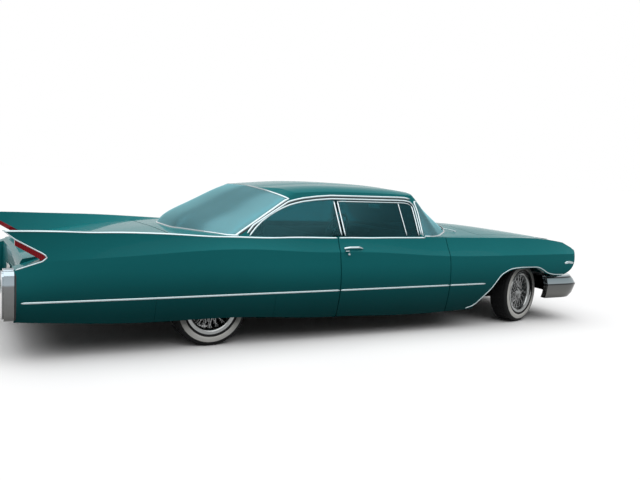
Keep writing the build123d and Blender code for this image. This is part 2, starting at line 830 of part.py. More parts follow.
def front_axle_beam():
    """Cross member with the upper and lower arms that hold the steering pins."""
    reach = kingpin_y + 26
    with BuildPart() as beam:
        add(block(fore(-70), fore(70), -(rail_y + rail_half), rail_y + rail_half, 190, 250))
        add(block(fore(-70), fore(70), -(rail_y - rail_half), rail_y - rail_half, 190, 330))
        for s in (-1, 1):
            y0, y1 = sorted((s * (rail_y + rail_half - 30), s * kingpin_y))
            add(block(fore(-24), fore(24), y0, y1, 200, 222))
            y0, y1 = sorted((s * (rail_y + rail_half), s * kingpin_y))
            add(block(fore(-24), fore(24), y0, y1, 398, 416))
            y0, y1 = sorted((s * (rail_y + rail_half), s * (rail_y + rail_half + 24)))
            add(block(fore(-60), fore(60), y0, y1, 190, 430))
            for z0, z1 in ((200, 222), (398, 416)):
                with BuildSketch(Plane.XY.offset(z0)):
                    with Locations((front_axle, s * kingpin_y)):
                        Circle(27)
                extrude(amount=z1 - z0)
                with BuildSketch(Plane.XY.offset(z0)):
                    with Locations((front_axle, s * kingpin_y)):
                        Circle(kingpin_radius - 8 + running_gap)
                extrude(amount=z1 - z0, mode=Mode.SUBTRACT)
    return beam


def turned(part, s):
    """A front corner piece turned to the parked steering angle."""
    pin = Axis((front_axle, s * kingpin_y, 0), (0, 0, 1))
    return part.rotate(pin, rest_steer)


def knuckle(s):
    """Steering knuckle with its pin, spindle and backing plate."""
    x, z, y = front_axle, tyre_radius, kingpin_y
    with BuildPart() as half:
        with BuildSketch(Plane.XY.offset(223)):
            with Locations((x, y)):
                Circle(kingpin_radius)
        extrude(amount=174)
        with BuildSketch(Plane.XY.offset(200)):
            with Locations((x, y)):
                Circle(kingpin_radius - 8)
        extrude(amount=216)
        add(disc(x, z, spindle_radius + 12, y, wheel_y - 12))
        add(disc(x, z, spindle_radius, y, wheel_y + 80))
        add(disc(x, z, 128, y + 34, y + 42))
        if s < 0:
            mirror(about=Plane.XZ, mode=Mode.REPLACE)
    with BuildPart() as piece:
        add(turned(half.part, s))
    return piece


def rim(x, s, steered):
    """Wheel rim with its hub, round a bore for the spindle."""
    lip, well, bore = rim_radius + 4, rim_radius - 18, spindle_radius + running_gap
    inside = well - 12
    with BuildPart() as wheel:
        with BuildSketch(cross(x)):
            with BuildLine():
                Polyline(
                    (-92, inside + 12), (-92, lip), (-86, lip), (-84, well + 2), (84, well + 2), (86, lip),
                    (93, lip), (93, inside + 10), (78, inside), (-80, inside), close=True,
                )
            make_face()
            with BuildLine():
                Polyline(
                    (-6, bore), (-6, 66), (30, 74), (44, 120), (52, inside + 4), (62, inside + 4),
                    (64, 118), (70, 68), (96, 40), (98, bore), close=True,
                )
            make_face()
        revolve(axis=Axis((x, 0, 0), (0, 1, 0)))
    return placed_wheel(wheel.part, s, steered)


def placed_wheel(part, s, steered):
    """A wheel piece made about its own middle, put on its axle."""
    moved = Pos(0, wheel_y, tyre_radius) * part
    with BuildPart() as piece:
        add(moved if s > 0 else moved.mirror(Plane.XZ))
    if steered:
        with BuildPart() as piece_turned:
            add(turned(piece.part, s))
        return piece_turned
    return piece


def tyre(x, s, steered):
    """Tyre seated on the rim."""
    well, lip = rim_radius - 16, rim_radius + 4
    with BuildPart() as ring:
        with BuildSketch(cross(x)):
            with BuildLine():
                Polyline((-84, well), (84, well), (86, lip))
                Spline(
                    (86, lip), (tyre_half, 248), (94, 285), (78, tyre_radius - 3),
                    tangents=[(0.5, 1), (-1, 0.5)],
                )
                ThreePointArc((78, tyre_radius - 3), (0, tyre_radius), (-78, tyre_radius - 3))
                Spline(
                    (-78, tyre_radius - 3), (-94, 285), (-tyre_half, 248), (-86, lip),
                    tangents=[(-1, -0.5), (0.5, -1)],
                )
                Line((-86, lip), (-84, well))
            make_face()
        revolve(axis=Axis((x, 0, 0), (0, 1, 0)))
    return placed_wheel(ring.part, s, steered)


def rear_axle_beam():
    """Live axle with the final drive, spindles and spring seats."""
    x, z = rear_axle, tyre_radius
    with BuildPart() as beam:
        add(disc(x, z, 40, -(wheel_y - 24), wheel_y - 24))
        add(disc(x, z, spindle_radius, -(wheel_y + 80), wheel_y + 80))
        with Locations((x, 0, z)):
            Sphere(128)
        for s in (-1, 1):
            y0, y1 = sorted((s * 655, s * 664))
            add(disc(x, z, 128, y0, y1))
            add(block(x - 34, x + 34, s * rail_y - 34, s * rail_y + 34, z, 400))
    return beam


def grille():
    """Frame of the front opening with its bars."""
    x0, x1, z0, z1 = nose_back, nose_back + 48, 444, lip_height - 8
    with BuildPart() as part:
        add(block(x0, x1, -grille_half, grille_half, z0, z1))
        add(block(x0 - 1, x1 + 1, -grille_half + 22, grille_half - 22, z0 + 20, z1 - 20), mode=Mode.SUBTRACT)
        for n in range(5):
            z = z0 + 20 + (z1 - z0 - 40) * (n + 1) / 6
            add(block(x0 + 8, x1 - 12, -grille_half + 22, grille_half - 22, z - 4, z + 4))
        for n in range(15):
            y = (n - 7) * (2 * grille_half - 44) / 16
            add(block(x0 + 12, x1 - 16, y - 4, y + 4, z0 + 20, z1 - 20))
    return part


def headlamps():
    """Two round lamps each side, in their bores."""
    with BuildPart() as left:
        for y in lamp_places:
            add(lamp_bore(y, 2.0, fore(708)))
    return both_sides(left.part)


def tail_lamps():
    """Wedge lens along the upper edge of each tail vee."""
    edge = notch_edge()
    points = [
        edge[0], edge[1], edge[2], edge[3], (aft(-1322), belt_height - 140), (aft(-1478), belt_height - 48),
    ]
    with BuildPart() as left:
        add(body)
        add(side_prism(points, deck_half, far), mode=Mode.INTERSECT)
        add(block(rear_end, 0, 0, 866, 0, top), mode=Mode.SUBTRACT)
    return both_sides(left.part)


def bumper_layers(shrink, back):
    """Left half of the front bumper as one solid, its outline drawn in by shrink."""
    with BuildPart() as half:
        for z, bulge in ((251, -64), (296, -30), (388, 0), (436, -26), (481, -62)):
            wide, long = body_half - 46 + bulge / 2 - shrink, front_end + bulge - shrink
            corner = (long - 68, wide - 150)
            with BuildSketch(Plane.XY.offset(z)):
                with BuildLine():
                    Line((back, 0), (back, wide - 4))
                    Line((back, wide - 4), (long - 330, wide))
                    Bezier((long - 330, wide), (long - 168, wide), (long - 90, wide - 42), corner)
                    Bezier(corner, (long - 46, wide - 258), (long, 300), (long, 0))
                    Line((long, 0), (back, 0))
                make_face()
        loft(ruled=True)
    return half.part


def front_bumper():
    """Bumper blade that runs round both wings, creased along its middle."""
    back = fore(284)
    with BuildPart() as blade:
        add(bumper_layers(0, back))
        add(bumper_layers(60, back - 6), mode=Mode.SUBTRACT)
        add(block(fore(630), front_end - 50, rail_y - 30, rail_y + 30, 262, 318))
    return both_sides(blade.part)


def rear_bumper():
    """Tail blade with a tall pod at each end, on two brackets."""
    with BuildPart() as half:
        with BuildSketch(cross(rear_end + 12)):
            with Locations((895, 498)):
                RectangleRounded(160, 370, 60)
        extrude(amount=tail_face - rear_end - 12)
        with BuildSketch(cross(rear_end)):
            with Locations((895, 498)):
                RectangleRounded(130, 340, 50)
        extrude(amount=14)
        add(block(rear_end + 8, tail_face - 8, -1, 840, 336, 468))
        add(block(tail_face - 9, deck_back, rail_y - 30, rail_y + 30, 345, 395))
        with BuildSketch(cross(rear_end)):
            with Locations((895, 560)):
                Circle(46)
        extrude(amount=16, mode=Mode.SUBTRACT)
    return both_sides(half.part)


def dashboard():
    """Dash across the cabin with the steering column."""
    x0, x1 = fore(-1216), door_front + seam / 2
    with BuildPart() as dash:
        with BuildSketch(side(-774)):
            with BuildLine():
                Line((x1, 640), (x1, belt_height - 18))
                Line((x1, belt_height - 18), (x0 + 40, belt_height - 14))
                Spline((x0 + 40, belt_height - 14), (x0, belt_height - 60), (x0 + 60, 700), (x0 + 80, 640),
                       tangents=[(-1, -0.2), (0.3, -1)])
                Line((x0 + 80, 640), (x1, 640))
            make_face()
        extrude(amount=-1548)
        with BuildSketch(wheel_plane()):
            Circle(34)
        extrude(amount=-420)
        with BuildSketch(wheel_plane()):
            Circle(14)
        extrude(amount=30, mode=Mode.ADD)
    return dash


def wheel_plane(shift=0.0):
    """Plane of the steering wheel's hub face; its normal points up the column."""
    lean = radians(column_tilt)
    normal = (-cos(lean), 0, sin(lean))
    x, y, z = wheel_centre
    origin = (x + normal[0] * shift, y, z + normal[2] * shift)
    return Plane(origin=origin, x_dir=(0, 1, 0), z_dir=normal)


def steering_wheel():
    """Steering wheel with three spokes and a hub on the column's shaft."""
    with BuildPart() as wheel:
        with BuildSketch(wheel_plane(running_gap)):
            Circle(38)
        extrude(amount=34)
        plane = wheel_plane(26)
        with BuildSketch(Plane(origin=plane.origin + plane.x_dir * (steer_radius - 11), x_dir=plane.x_dir,
                               z_dir=plane.y_dir)):
            Circle(11)
        revolve(axis=Axis(plane.origin, plane.z_dir))
        with BuildSketch(wheel_plane(19)):
            for a in (0, 180, 270):
                with Locations(Location((0, 0, 0), (0, 0, a))):
                    with Locations((steer_radius / 2 - 3, 0)):
                        Rectangle(steer_radius - 10, 26)
        extrude(amount=9)
        with BuildSketch(wheel_plane()):
            Circle(14 + running_gap)
        extrude(amount=30 + running_gap, mode=Mode.SUBTRACT)
    return wheel


def bench(back_x, front_x, heel, seat_z, top_z, half_width):
    """Bench seat: cushion and backrest in one plain solid; heel is its lowest rear corner."""
    floor_z = floor_height + floor_skin + 0.3
    points = [
        (heel, floor_z), (front_x - 60, floor_z), (front_x, seat_z - 90), (front_x - 20, seat_z - 10),
        (front_x - 60, seat_z), (back_x + 230, seat_z - 35), (back_x + 110, top_z - 20),
        (back_x + 80, top_z), (back_x + 20, top_z), (back_x, top_z - 30), (heel, seat_z + 10),
    ]
    with BuildPart() as seat:
        with BuildSketch(side(-half_width)):
            with BuildLine():
                Polyline(*points, close=True)
            make_face()
        extrude(amount=-2 * half_width)
        fillet(seat.edges().filter_by(Axis.Y), 14)
    return seat


def engine():
    """Engine and gearbox as one plain block."""
    with BuildPart() as unit:
        add(block(fore(-360), fore(340), -270, 270, 330.0, 790))
    return unit


def radiator():
    with BuildPart() as core:
        add(block(fore(480), fore(540), -(rail_y + 30), rail_y + 30, 330.0, 720))
    return core


floor_pan = floor()
save(floor_pan, "floor")
glass = screen_glass()
save(glass, "windshield")
back_glass = rear_glass()
save(back_glass, "rear_window")
left_door_glass = door_glass()
left_quarter_glass = quarter_glass()
save_pair(left_door_glass, "door_glass")
save(both_sides(left_quarter_glass.part), "quarter_glass")
save(roof_shell(), "roof")
save_pair(door(left_door_glass.part), "door")
save_pair(front_wing(), "front_wing")
save_pair(quarter(left_quarter_glass.part, back_glass.part), "quarter_panel")
save(spats(), "rear_wheel_covers")
save(cowl(glass.part, floor_pan.part), "cowl")
save(hood(), "hood")
save(trunk_lid(), "trunk_lid")
save(rear_deck(back_glass.part), "rear_deck")
save(tail_panel(), "tail_panel")
save(chassis(), "chassis_frame")
save(front_axle_beam(), "front_axle")
save(rear_axle_beam(), "rear_axle")
save(knuckle(1), "knuckle_left")
save(knuckle(-1), "knuckle_right")
for name, x, s, steered in (
    ("front_left", front_axle, 1, True), ("front_right", front_axle, -1, True),
    ("rear_left", rear_axle, 1, False), ("rear_right", rear_axle, -1, False),
):
    save(rim(x, s, steered), f"rim_{name}")
    save(tyre(x, s, steered), f"tyre_{name}")
save(grille(), "grille")
save(headlamps(), "headlamps")
save(tail_lamps(), "tail_lamps")
save(front_bumper(), "front_bumper")
save(rear_bumper(), "rear_bumper")
save(dashboard(), "dashboard")
save(steering_wheel(), "steering_wheel")
save(bench(aft(1000), aft(1670), aft(1060), 500, 880, 690), "front_seat")
save(bench(step_place - 29, step_place + 526, step_place + 38, 500, 860, 640), "rear_seat")
save(engine(), "engine")
save(radiator(), "radiator")
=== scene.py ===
import json
from math import ceil, cos, exp, hypot, pi, radians, sin

import bmesh
import bpy
from mathutils import Matrix, Vector
from mathutils.bvhtree import BVHTree

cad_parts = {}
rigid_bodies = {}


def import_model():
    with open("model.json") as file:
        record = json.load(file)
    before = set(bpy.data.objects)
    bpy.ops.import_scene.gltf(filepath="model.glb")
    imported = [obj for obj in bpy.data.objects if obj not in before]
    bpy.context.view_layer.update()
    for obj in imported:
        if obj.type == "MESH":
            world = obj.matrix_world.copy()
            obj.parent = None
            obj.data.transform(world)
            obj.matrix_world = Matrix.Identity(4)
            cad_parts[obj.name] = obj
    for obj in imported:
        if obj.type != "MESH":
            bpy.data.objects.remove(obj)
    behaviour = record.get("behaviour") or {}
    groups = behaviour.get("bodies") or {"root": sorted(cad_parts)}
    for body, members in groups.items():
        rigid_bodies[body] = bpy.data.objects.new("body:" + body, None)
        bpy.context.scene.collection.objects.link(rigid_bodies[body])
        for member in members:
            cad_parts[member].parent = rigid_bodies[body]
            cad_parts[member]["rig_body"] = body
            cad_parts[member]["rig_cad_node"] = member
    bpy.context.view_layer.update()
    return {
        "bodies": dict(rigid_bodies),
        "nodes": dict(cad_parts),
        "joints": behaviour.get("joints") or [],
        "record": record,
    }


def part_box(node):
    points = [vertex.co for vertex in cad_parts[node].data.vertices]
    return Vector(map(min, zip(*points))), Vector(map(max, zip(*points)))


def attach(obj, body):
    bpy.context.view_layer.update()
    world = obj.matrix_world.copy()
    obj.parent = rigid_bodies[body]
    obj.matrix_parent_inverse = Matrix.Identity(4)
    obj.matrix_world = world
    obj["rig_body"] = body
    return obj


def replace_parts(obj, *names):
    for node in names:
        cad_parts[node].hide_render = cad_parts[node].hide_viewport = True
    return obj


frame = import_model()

nodes = frame["nodes"]
joints = {j["name"]: j for j in frame["joints"]}
hands = {-1: "right", 1: "left"}  # the car's sides, by the sign of Y
forward, backward, upward = (1, 0, 0), (-1, 0, 0), (0, 0, 1)
print("frame loaded:", len(nodes), "CAD nodes")


def turns(count):  # angles evenly round a circle
    return [2 * pi * k / count for k in range(count)]


def between(a, b, count):
    return [a + (b - a) * n / (count - 1) for n in range(count)]


def swelling(span, count, power, least=0.0, root=1.0):  # places along a rounded form, how full it is there
    half = (count - 1) / 2
    return [(x, max(least, 1 - abs(n / half - 1) ** power) ** root)
            for n, x in enumerate(between(*span, count))]


# node trees: sums are written as Python sums

class Port:
    def __init__(self, graph, socket):
        self.graph, self.socket = graph, socket

    def maths(self, operation, *others):
        return self.graph.port("ShaderNodeMath", {"operation": operation}, dict(enumerate((self, *others))))

    def __add__(self, other): return self.maths("ADD", other)
    def __radd__(self, other): return self.maths("ADD", other)
    def __sub__(self, other): return self.maths("SUBTRACT", other)
    def __mul__(self, other): return self.maths("MULTIPLY", other)
    def __truediv__(self, other): return self.maths("DIVIDE", other)


class Graph:
    def __init__(self, tree):
        self.tree = tree

    def node(self, kind, settings=None, values=None):
        made = self.tree.nodes.new(kind)
        for name, value in (settings or {}).items():
            if name == "stops":
                ramp = made.color_ramp
                while len(ramp.elements) < len(value):
                    ramp.elements.new(0.5)
                for element, (place, colour) in zip(ramp.elements, value):
                    element.position, element.color = place, (*colour, 1)
            else:
                setattr(made, name, value)
        for name, value in (values or {}).items():
            if isinstance(value, Port):
                self.tree.links.new(value.socket, made.inputs[name])
            else:
                made.inputs[name].default_value = value
        return made

    def port(self, kind, settings=None, values=None, out=0):
        return Port(self, self.node(kind, settings, values).outputs[out])

    def parts(self, vector):
        split = self.node("ShaderNodeSeparateXYZ", None, {"Vector": vector})
        return [Port(self, split.outputs[n]) for n in range(3)]

    def vector(self, *values):
        return self.port("ShaderNodeCombineXYZ", None, dict(enumerate(values)))


class Finish(Graph):  # a material with one Principled shader
    def __init__(self, name, **plain):
        self.material = bpy.data.materials.new(name)
        self.material.use_nodes = True
        super().__init__(self.material.node_tree)
        self.shader = next(n for n in self.tree.nodes if n.type == "BSDF_PRINCIPLED")
        for key, value in plain.items():
            self.shader.inputs[key.replace("_", " ")].default_value = value
        self.place = self.port("ShaderNodeTexCoord", out="Object")

    def feed(self, **links):
        for key, port in links.items():
            self.tree.links.new(port.socket, self.shader.inputs[key.replace("_", " ")])
        return self

    def noise(self, scale, detail):
        values = {"Scale": scale, "Detail": detail, "Vector": self.place}
        return self.port("ShaderNodeTexNoise", None, values)

    def cells(self, scale):
        return self.node("ShaderNodeTexVoronoi", None, {"Scale": scale, "Vector": self.place})

    def ramp(self, factor, stops):
        return self.port("ShaderNodeValToRGB", {"stops": stops}, {"Fac": factor})

    def mix(self, factor, *colours):
        first, second = [c if isinstance(c, Port) else (*c, 1) for c in colours]
        values = {"Factor": factor, 6: first, 7: second}
        return self.port("ShaderNodeMix", {"data_type": "RGBA"}, values, out=2)

    def bump(self, height, strength, distance):
        values = {"Height": height, "Strength": strength, "Distance": distance}
        return self.port("ShaderNodeBump", None, values)


def shade(obj, *finishes):
    obj.data.materials.clear()
    for finish in finishes:
        obj.data.materials.append(finish.material)


# finishes

def metallicPaint():
    # sill is a painted shade colour for the lower body, blended in between the fade heights
    look = {"body": (0.005, 0.128, 0.138), "flake": (0.016, 0.216, 0.228), "flakeScale": 1800.0,
            "sill": (0.0005, 0.032, 0.034), "fade": (0.17, 0.66)}
    f = Finish("tealMetallicPaint", Coat_Weight=0.52, Coat_Roughness=0.03, Coat_IOR=1.12,
               Specular_IOR_Level=0.02)
    glint = f.parts(Port(f, f.cells(look["flakeScale"]).outputs["Color"]))[0]
    drift = f.noise(1.7, 4.0)
    low, high = look["fade"]  # painted shade: the colour darkens towards the sills
    rise = ((f.parts(f.place)[2] - low) / (high - low)).maths("MAXIMUM", 0.0).maths("MINIMUM", 1.0)
    body = f.mix(rise, look["sill"], look["body"])
    # the flakes weaken lower down with the painted shade
    colour = f.mix((glint * 0.35 + drift * 0.2) * (rise * 0.6 + 0.4), body, look["flake"])
    return f.feed(Base_Color=colour, Roughness=0.34 + glint * 0.12 + drift * 0.04, Metallic=glint * 0.03)


def polishedChrome(name="polishedChrome", rough=0.06, dark=(0.37, 0.44, 0.46), light=(0.42, 0.49, 0.51)):
    f = Finish(name, Metallic=1.0)
    haze = f.noise(95.0, 4.0)
    wipe = f.noise(4.0, 2.0)
    return f.feed(Base_Color=f.ramp(haze, [(0.3, dark), (0.7, light)]),
                  Roughness=rough + haze * 0.02 + wipe * 0.02)


def paintedReflectionChrome(name, stops):  # painted reflection and shade by height: bright tops over darker faces
    f = Finish(name, Metallic=1.0)
    haze = f.noise(95.0, 4.0)
    # painted reflection and shade: the colour ramp follows the height
    height = f.ramp(f.parts(f.place)[2], stops)
    return f.feed(Base_Color=f.mix(haze * 0.14, height, (0.3, 0.31, 0.32)), Roughness=0.09 + haze * 0.03)


def tintedGlass(name, tint, shine, gloss, least=0.015):
    f = Finish(name)
    tree = f.tree
    tree.nodes.remove(f.shader)
    out = next(n for n in tree.nodes if n.type == "OUTPUT_MATERIAL")
    smear = f.noise(9.0, 4.0)
    clear = f.node("ShaderNodeBsdfTransparent", None, {"Color": (*tint, 1)})
    gleam = f.node("ShaderNodeBsdfGlossy", None, {"Color": (*shine, 1), "Roughness": gloss})
    rim = f.port("ShaderNodeFresnel", None, {"IOR": 1.52})
    share = rim * (0.92 + smear * 0.16) + least
    mixed = f.node("ShaderNodeMixShader", None, {"Fac": share})
    tree.links.new(clear.outputs[0], mixed.inputs[1])
    tree.links.new(gleam.outputs[0], mixed.inputs[2])
    tree.links.new(mixed.outputs[0], out.inputs["Surface"])
    return f


def grained(name, colour, dusty, rough=0.55, metal=0.0, grain=220.0, depth=0.0008, strength=0.25, **plain):
    f = Finish(name, Metallic=metal, **plain)
    grime = f.noise(14.0, 6.0)
    pits = f.noise(grain, 2.0)
    return f.feed(Base_Color=f.mix(grime, colour, dusty), Roughness=rough + grime * 0.2,
                  Normal=f.bump(pits, strength, depth))


def hide(name, colour, worn):  # leather: cells of creases under fine pores
    f = Finish(name, Specular_IOR_Level=0.35)
    creases = Port(f, f.cells(260.0).outputs["Distance"])
    pores = f.noise(700.0, 2.0)
    use = f.noise(5.0, 4.0)
    return f.feed(Base_Color=f.mix(use * 0.6 + creases * 0.2, colour, worn), Roughness=0.42 + use * 0.2,
                  Normal=f.bump(creases * 0.7 + pores * 0.3, 0.3, 0.0006))


def ribbedLens(name, colour, pitch, axis, rough=0.08, **plain):
    f = Finish(name, **plain)
    along = f.parts(f.place)[axis]
    ribs = (along * (2 * pi / pitch)).maths("SINE") * 0.5 + 0.5
    cloud = f.noise(30.0, 3.0)
    deep = [c * 0.55 for c in colour]
    return f.feed(Base_Color=f.mix(ribs * 0.7 + cloud * 0.3, deep, colour), Roughness=rough + cloud * 0.08,
                  Normal=f.bump(ribs, 0.5, 0.0015))


def carpet(name, colour, tip):
    f = Finish(name, Specular_IOR_Level=0.1, Sheen_Weight=0.25)
    tufts = f.noise(420.0, 3.0)
    trodden = f.noise(3.0, 3.0)
    return f.feed(Base_Color=f.mix(tufts * 0.7 + trodden * 0.3, colour, tip), Roughness=0.9 + tufts * 0.08,
                  Normal=f.bump(tufts, 0.6, 0.003))


def radiatorCore():
    f = Finish("radiatorCore", Metallic=0.4)
    y, z = f.parts(f.place)[1:]
    fins = (z * (2 * pi / 0.006)).maths("SINE") * 0.5 + 0.5
    tubes = (y * (2 * pi / 0.014)).maths("SINE").maths("ABSOLUTE")
    dust = f.noise(25.0, 5.0)
    return f.feed(Base_Color=f.mix(dust * 0.6 + fins * 0.3, (0.012, 0.012, 0.012), (0.07, 0.065, 0.055)),
                  Roughness=0.5 + dust * 0.3, Normal=f.bump(fins * tubes, 0.8, 0.003))


paint = metallicPaint()
chrome = polishedChrome()
satinChrome = polishedChrome("satinChrome", 0.2, (0.38, 0.39, 0.395), (0.42, 0.43, 0.43))
rimChrome = polishedChrome("rimChrome", 0.16, (0.24, 0.25, 0.25), (0.28, 0.29, 0.29))
# painted reflection and shade: dark grey lower face, dark crease lines near 0.39 and 0.46, bright face and
# top between and above
bumperChromePaintedLight = paintedReflectionChrome("bumperChromePaintedLight", [
    (0.215, (0.045, 0.044, 0.04)), (0.3, (0.115, 0.115, 0.108)), (0.385, (0.095, 0.098, 0.095)),
    (0.392, (0.01, 0.012, 0.012)), (0.398, (0.012, 0.015, 0.015)), (0.404, (0.26, 0.31, 0.33)),
    (0.452, (0.19, 0.245, 0.265)), (0.459, (0.02, 0.025, 0.027)), (0.467, (0.02, 0.025, 0.027)),
    (0.472, (0.3, 0.35, 0.37))])
# painted highlight on the top above 0.58 over a grey face that darkens downwards, painted shade
podChromePaintedLight = paintedReflectionChrome("podChromePaintedLight", [
    (0.25, (0.085, 0.085, 0.08)), (0.36, (0.11, 0.11, 0.105)), (0.565, (0.165, 0.17, 0.172)),
    (0.578, (0.33, 0.39, 0.43)), (0.66, (0.3, 0.36, 0.4))])
sideGlass = tintedGlass("sideGlass", (0.22, 0.5, 0.53), (0.15, 0.37, 0.41), 0.12)
endGlass = tintedGlass("endGlass", (0.15, 0.44, 0.48), (0.33, 0.67, 0.73), 0.3, 0.16)
lampGlass = tintedGlass("flutedLens", (0.9, 0.93, 0.93), (0.85, 0.9, 0.9), 0.04, 0.05)
black = grained("chassisBlack", (0.01, 0.01, 0.011), (0.035, 0.035, 0.036))
castIron = grained("castIron", (0.03, 0.032, 0.034), (0.075, 0.07, 0.062), 0.6, 0.5, 160.0, 0.0015, 0.5)
engineEnamel = grained("engineEnamel", (0.012, 0.085, 0.1), (0.03, 0.11, 0.12), 0.38, 0.0, 140.0, 0.0012,
                       0.35)
rubber = grained("tyreRubber", (0.006, 0.0065, 0.007), (0.014, 0.0145, 0.015), 0.62, 0.0, 500.0, 0.0005, 0.3,
                  Specular_IOR_Level=0.2)
whiteRubber = grained("whiteBand", (0.8, 0.8, 0.77), (0.7, 0.7, 0.66), 0.5, 0.0, 300.0, 0.0004, 0.2)
paleHide = hide("paleLeather", (0.6, 0.62, 0.59), (0.48, 0.5, 0.47))
tealHide = hide("tealLeather", (0.018, 0.16, 0.17), (0.012, 0.1, 0.11))
dashSkin = grained("dashEnamel", (0.012, 0.11, 0.12), (0.02, 0.14, 0.15), 0.33, 0.0, 240.0, 0.0005, 0.2)
padSkin = grained("dashPad", (0.01, 0.045, 0.05), (0.016, 0.06, 0.065), 0.6, 0.0, 600.0, 0.0008, 0.5)
dial = grained("dialFace", (0.015, 0.02, 0.022), (0.03, 0.04, 0.042), 0.3)
marks = grained("dialMarks", (0.75, 0.8, 0.76), (0.65, 0.7, 0.66), 0.4)
wheelPlastic = grained("steeringPlastic", (0.66, 0.68, 0.63), (0.58, 0.6, 0.55), 0.22, 0.0, 90.0, 0.0003, 0.1)
blackPlastic = grained("blackPlastic", (0.012, 0.012, 0.013), (0.02, 0.02, 0.02), 0.35)
redLens = ribbedLens("redLens", (0.3, 0.003, 0.01), 0.014, 0, 0.2, Coat_Weight=0.25, Coat_IOR=1.25,
                     Specular_IOR_Level=0.1)
whiteLens = ribbedLens("clearLens", (0.62, 0.66, 0.66), 0.01, 1, 0.06, Coat_Weight=0.5, Coat_IOR=1.3)
mirrorFace = polishedChrome("lampReflector", 0.04, (0.74, 0.75, 0.76), (0.84, 0.85, 0.86))
floorCarpet = carpet("tealCarpet", (0.006, 0.05, 0.055), (0.02, 0.1, 0.11))
trunkMat = carpet("trunkMat", (0.03, 0.032, 0.033), (0.07, 0.072, 0.072))
roofCloth = carpet("roofLining", (0.34, 0.37, 0.35), (0.44, 0.47, 0.45))
plateEnamel = grained("blankPlate", (0.7, 0.7, 0.66), (0.62, 0.62, 0.58), 0.35, 0.0, 60.0, 0.0006, 0.15)
core = radiatorCore()
print("finishes made")

painted = [
    "cowl", "front_wing_left", "front_wing_right", "quarter_panel_left", "quarter_panel_right",
    "rear_wheel_covers", "roof", "rear_deck", "tail_panel", "hood", "trunk_lid", "door_left", "door_right",
]
dressing = {
    paint: painted, sideGlass: ["quarter_glass", "door_glass_left", "door_glass_right"],
    # the grille takes the bumper's finish, with its painted reflection bands by height
    endGlass: ["windshield", "rear_window"], bumperChromePaintedLight: ["grille"], core: ["radiator"],
    engineEnamel: ["engine"], dashSkin: ["dashboard"], redLens: ["tail_lamps"], floorCarpet: ["floor"],
    black: ["chassis_frame", "front_axle", "rear_axle", "knuckle_left", "knuckle_right"],
}
for finish, names in dressing.items():
    for name in names:
        shade(nodes[name], finish)


# plain mesh work

class Shape:  # gathers points and faces of one piece
    def __init__(self):
        self.points, self.faces, self.kinds = [], [], []

    def grid(self, rows, kind=0, around=False, along=False):
        start, wide, deep = len(self.points), len(rows[0]), len(rows)
        self.points += [Vector(p) for row in rows for p in row]
        for i in range(deep if along else deep - 1):
            for j in range(wide if around else wide - 1):
                k, here, there = (j + 1) % wide, start + i * wide, start + (i + 1) % deep * wide
                self.faces.append([here + j, here + k, there + k, there + j])
                self.kinds.append(kind)
        return self

    def cap(self, ring, kind=0):
        start = len(self.points)
        self.points += [Vector(p) for p in ring]
        self.faces.append(list(range(start, start + len(ring))))
        self.kinds.append(kind)
        return self

    def loft(self, rings, kind=0):  # closed rings joined along, both ends capped
        return self.grid(rings, kind, around=True).cap(rings[0], kind).cap(rings[-1], kind)

    def slab(self, first, second):  # a sheet with two faces and closed edges
        self.grid(first).grid(second)
        for k in (0, -1):
            self.grid([first[k], second[k]])
        for k in (0, -1):
            self.grid([[row[k] for row in first], [row[k] for row in second]])
        return self

    def lathe(self, profile, place=(0, 0, 0), axis=(0, 0, 1), kind=0, steps=48, closed=False):
        axis = Vector(axis).normalized()
        side = axis.orthogonal().normalized()
        up = axis.cross(side)
        rows = []
        for a in turns(steps):
            out = side * cos(a) + up * sin(a)
            rows.append([Vector(place) + axis * t + out * r for t, r in profile])
        return self.grid(rows, kind, around=closed, along=True)

    def bar(self, path, radius, kind=0, sides=8, flat=1.0):  # rod along a path, ends capped
        path = [Vector(p) for p in path]
        side, rings = None, []
        for n, p in enumerate(path):
            ahead = (path[min(n + 1, len(path) - 1)] - path[max(n - 1, 0)]).normalized()
            side = ahead.orthogonal() if side is None else side - ahead * side.dot(ahead)
            side.normalize()
            up = ahead.cross(side)
            rings.append([p + side * radius * cos(a) + up * radius * flat * sin(a) for a in turns(sides)])
        return self.loft(rings, kind)

    def box(self, low, high, kind=0, bevel=0.003, steps=2):
        low, high = Vector(low), Vector(high)
        bm = bmesh.new()
        bmesh.ops.create_cube(bm, size=1.0)
        for v in bm.verts:
            v.co = Vector((low[k] + high[k]) / 2 + v.co[k] * (high[k] - low[k]) for k in range(3))
        bmesh.ops.bevel(bm, geom=bm.edges[:], offset=bevel, segments=steps, profile=0.6, affect="EDGES")
        self.take(bm, kind)
        bm.free()
        return self

    def take(self, bm, kind=0):
        start = len(self.points)
        bm.verts.ensure_lookup_table()
        self.points += [v.co.copy() for v in bm.verts]
        self.faces += [[start + v.index for v in f.verts] for f in bm.faces]
        self.kinds += [kind] * len(bm.faces)

    def join(self, other, matrix=None):
        start = len(self.points)
        matrix = matrix or Matrix.Identity(4)
        self.points += [matrix @ p for p in other.points]
        self.faces += [[start + n for n in f] for f in other.faces]
        self.kinds += other.kinds
        return self

    def object(self, name, *finishes, angle=38.0):
        me = bpy.data.meshes.new(name)
        me.from_pydata([tuple(p) for p in self.points], [], self.faces)
        obj = placed(name, me)
        shade(obj, *finishes)
        me.polygons.foreach_set("material_index", self.kinds)
        tidy(obj, angle)
        return obj


def placed(name, data):  # a new object in the scene
    obj = bpy.data.objects.new(name, data)
    bpy.context.collection.objects.link(obj)
    return obj


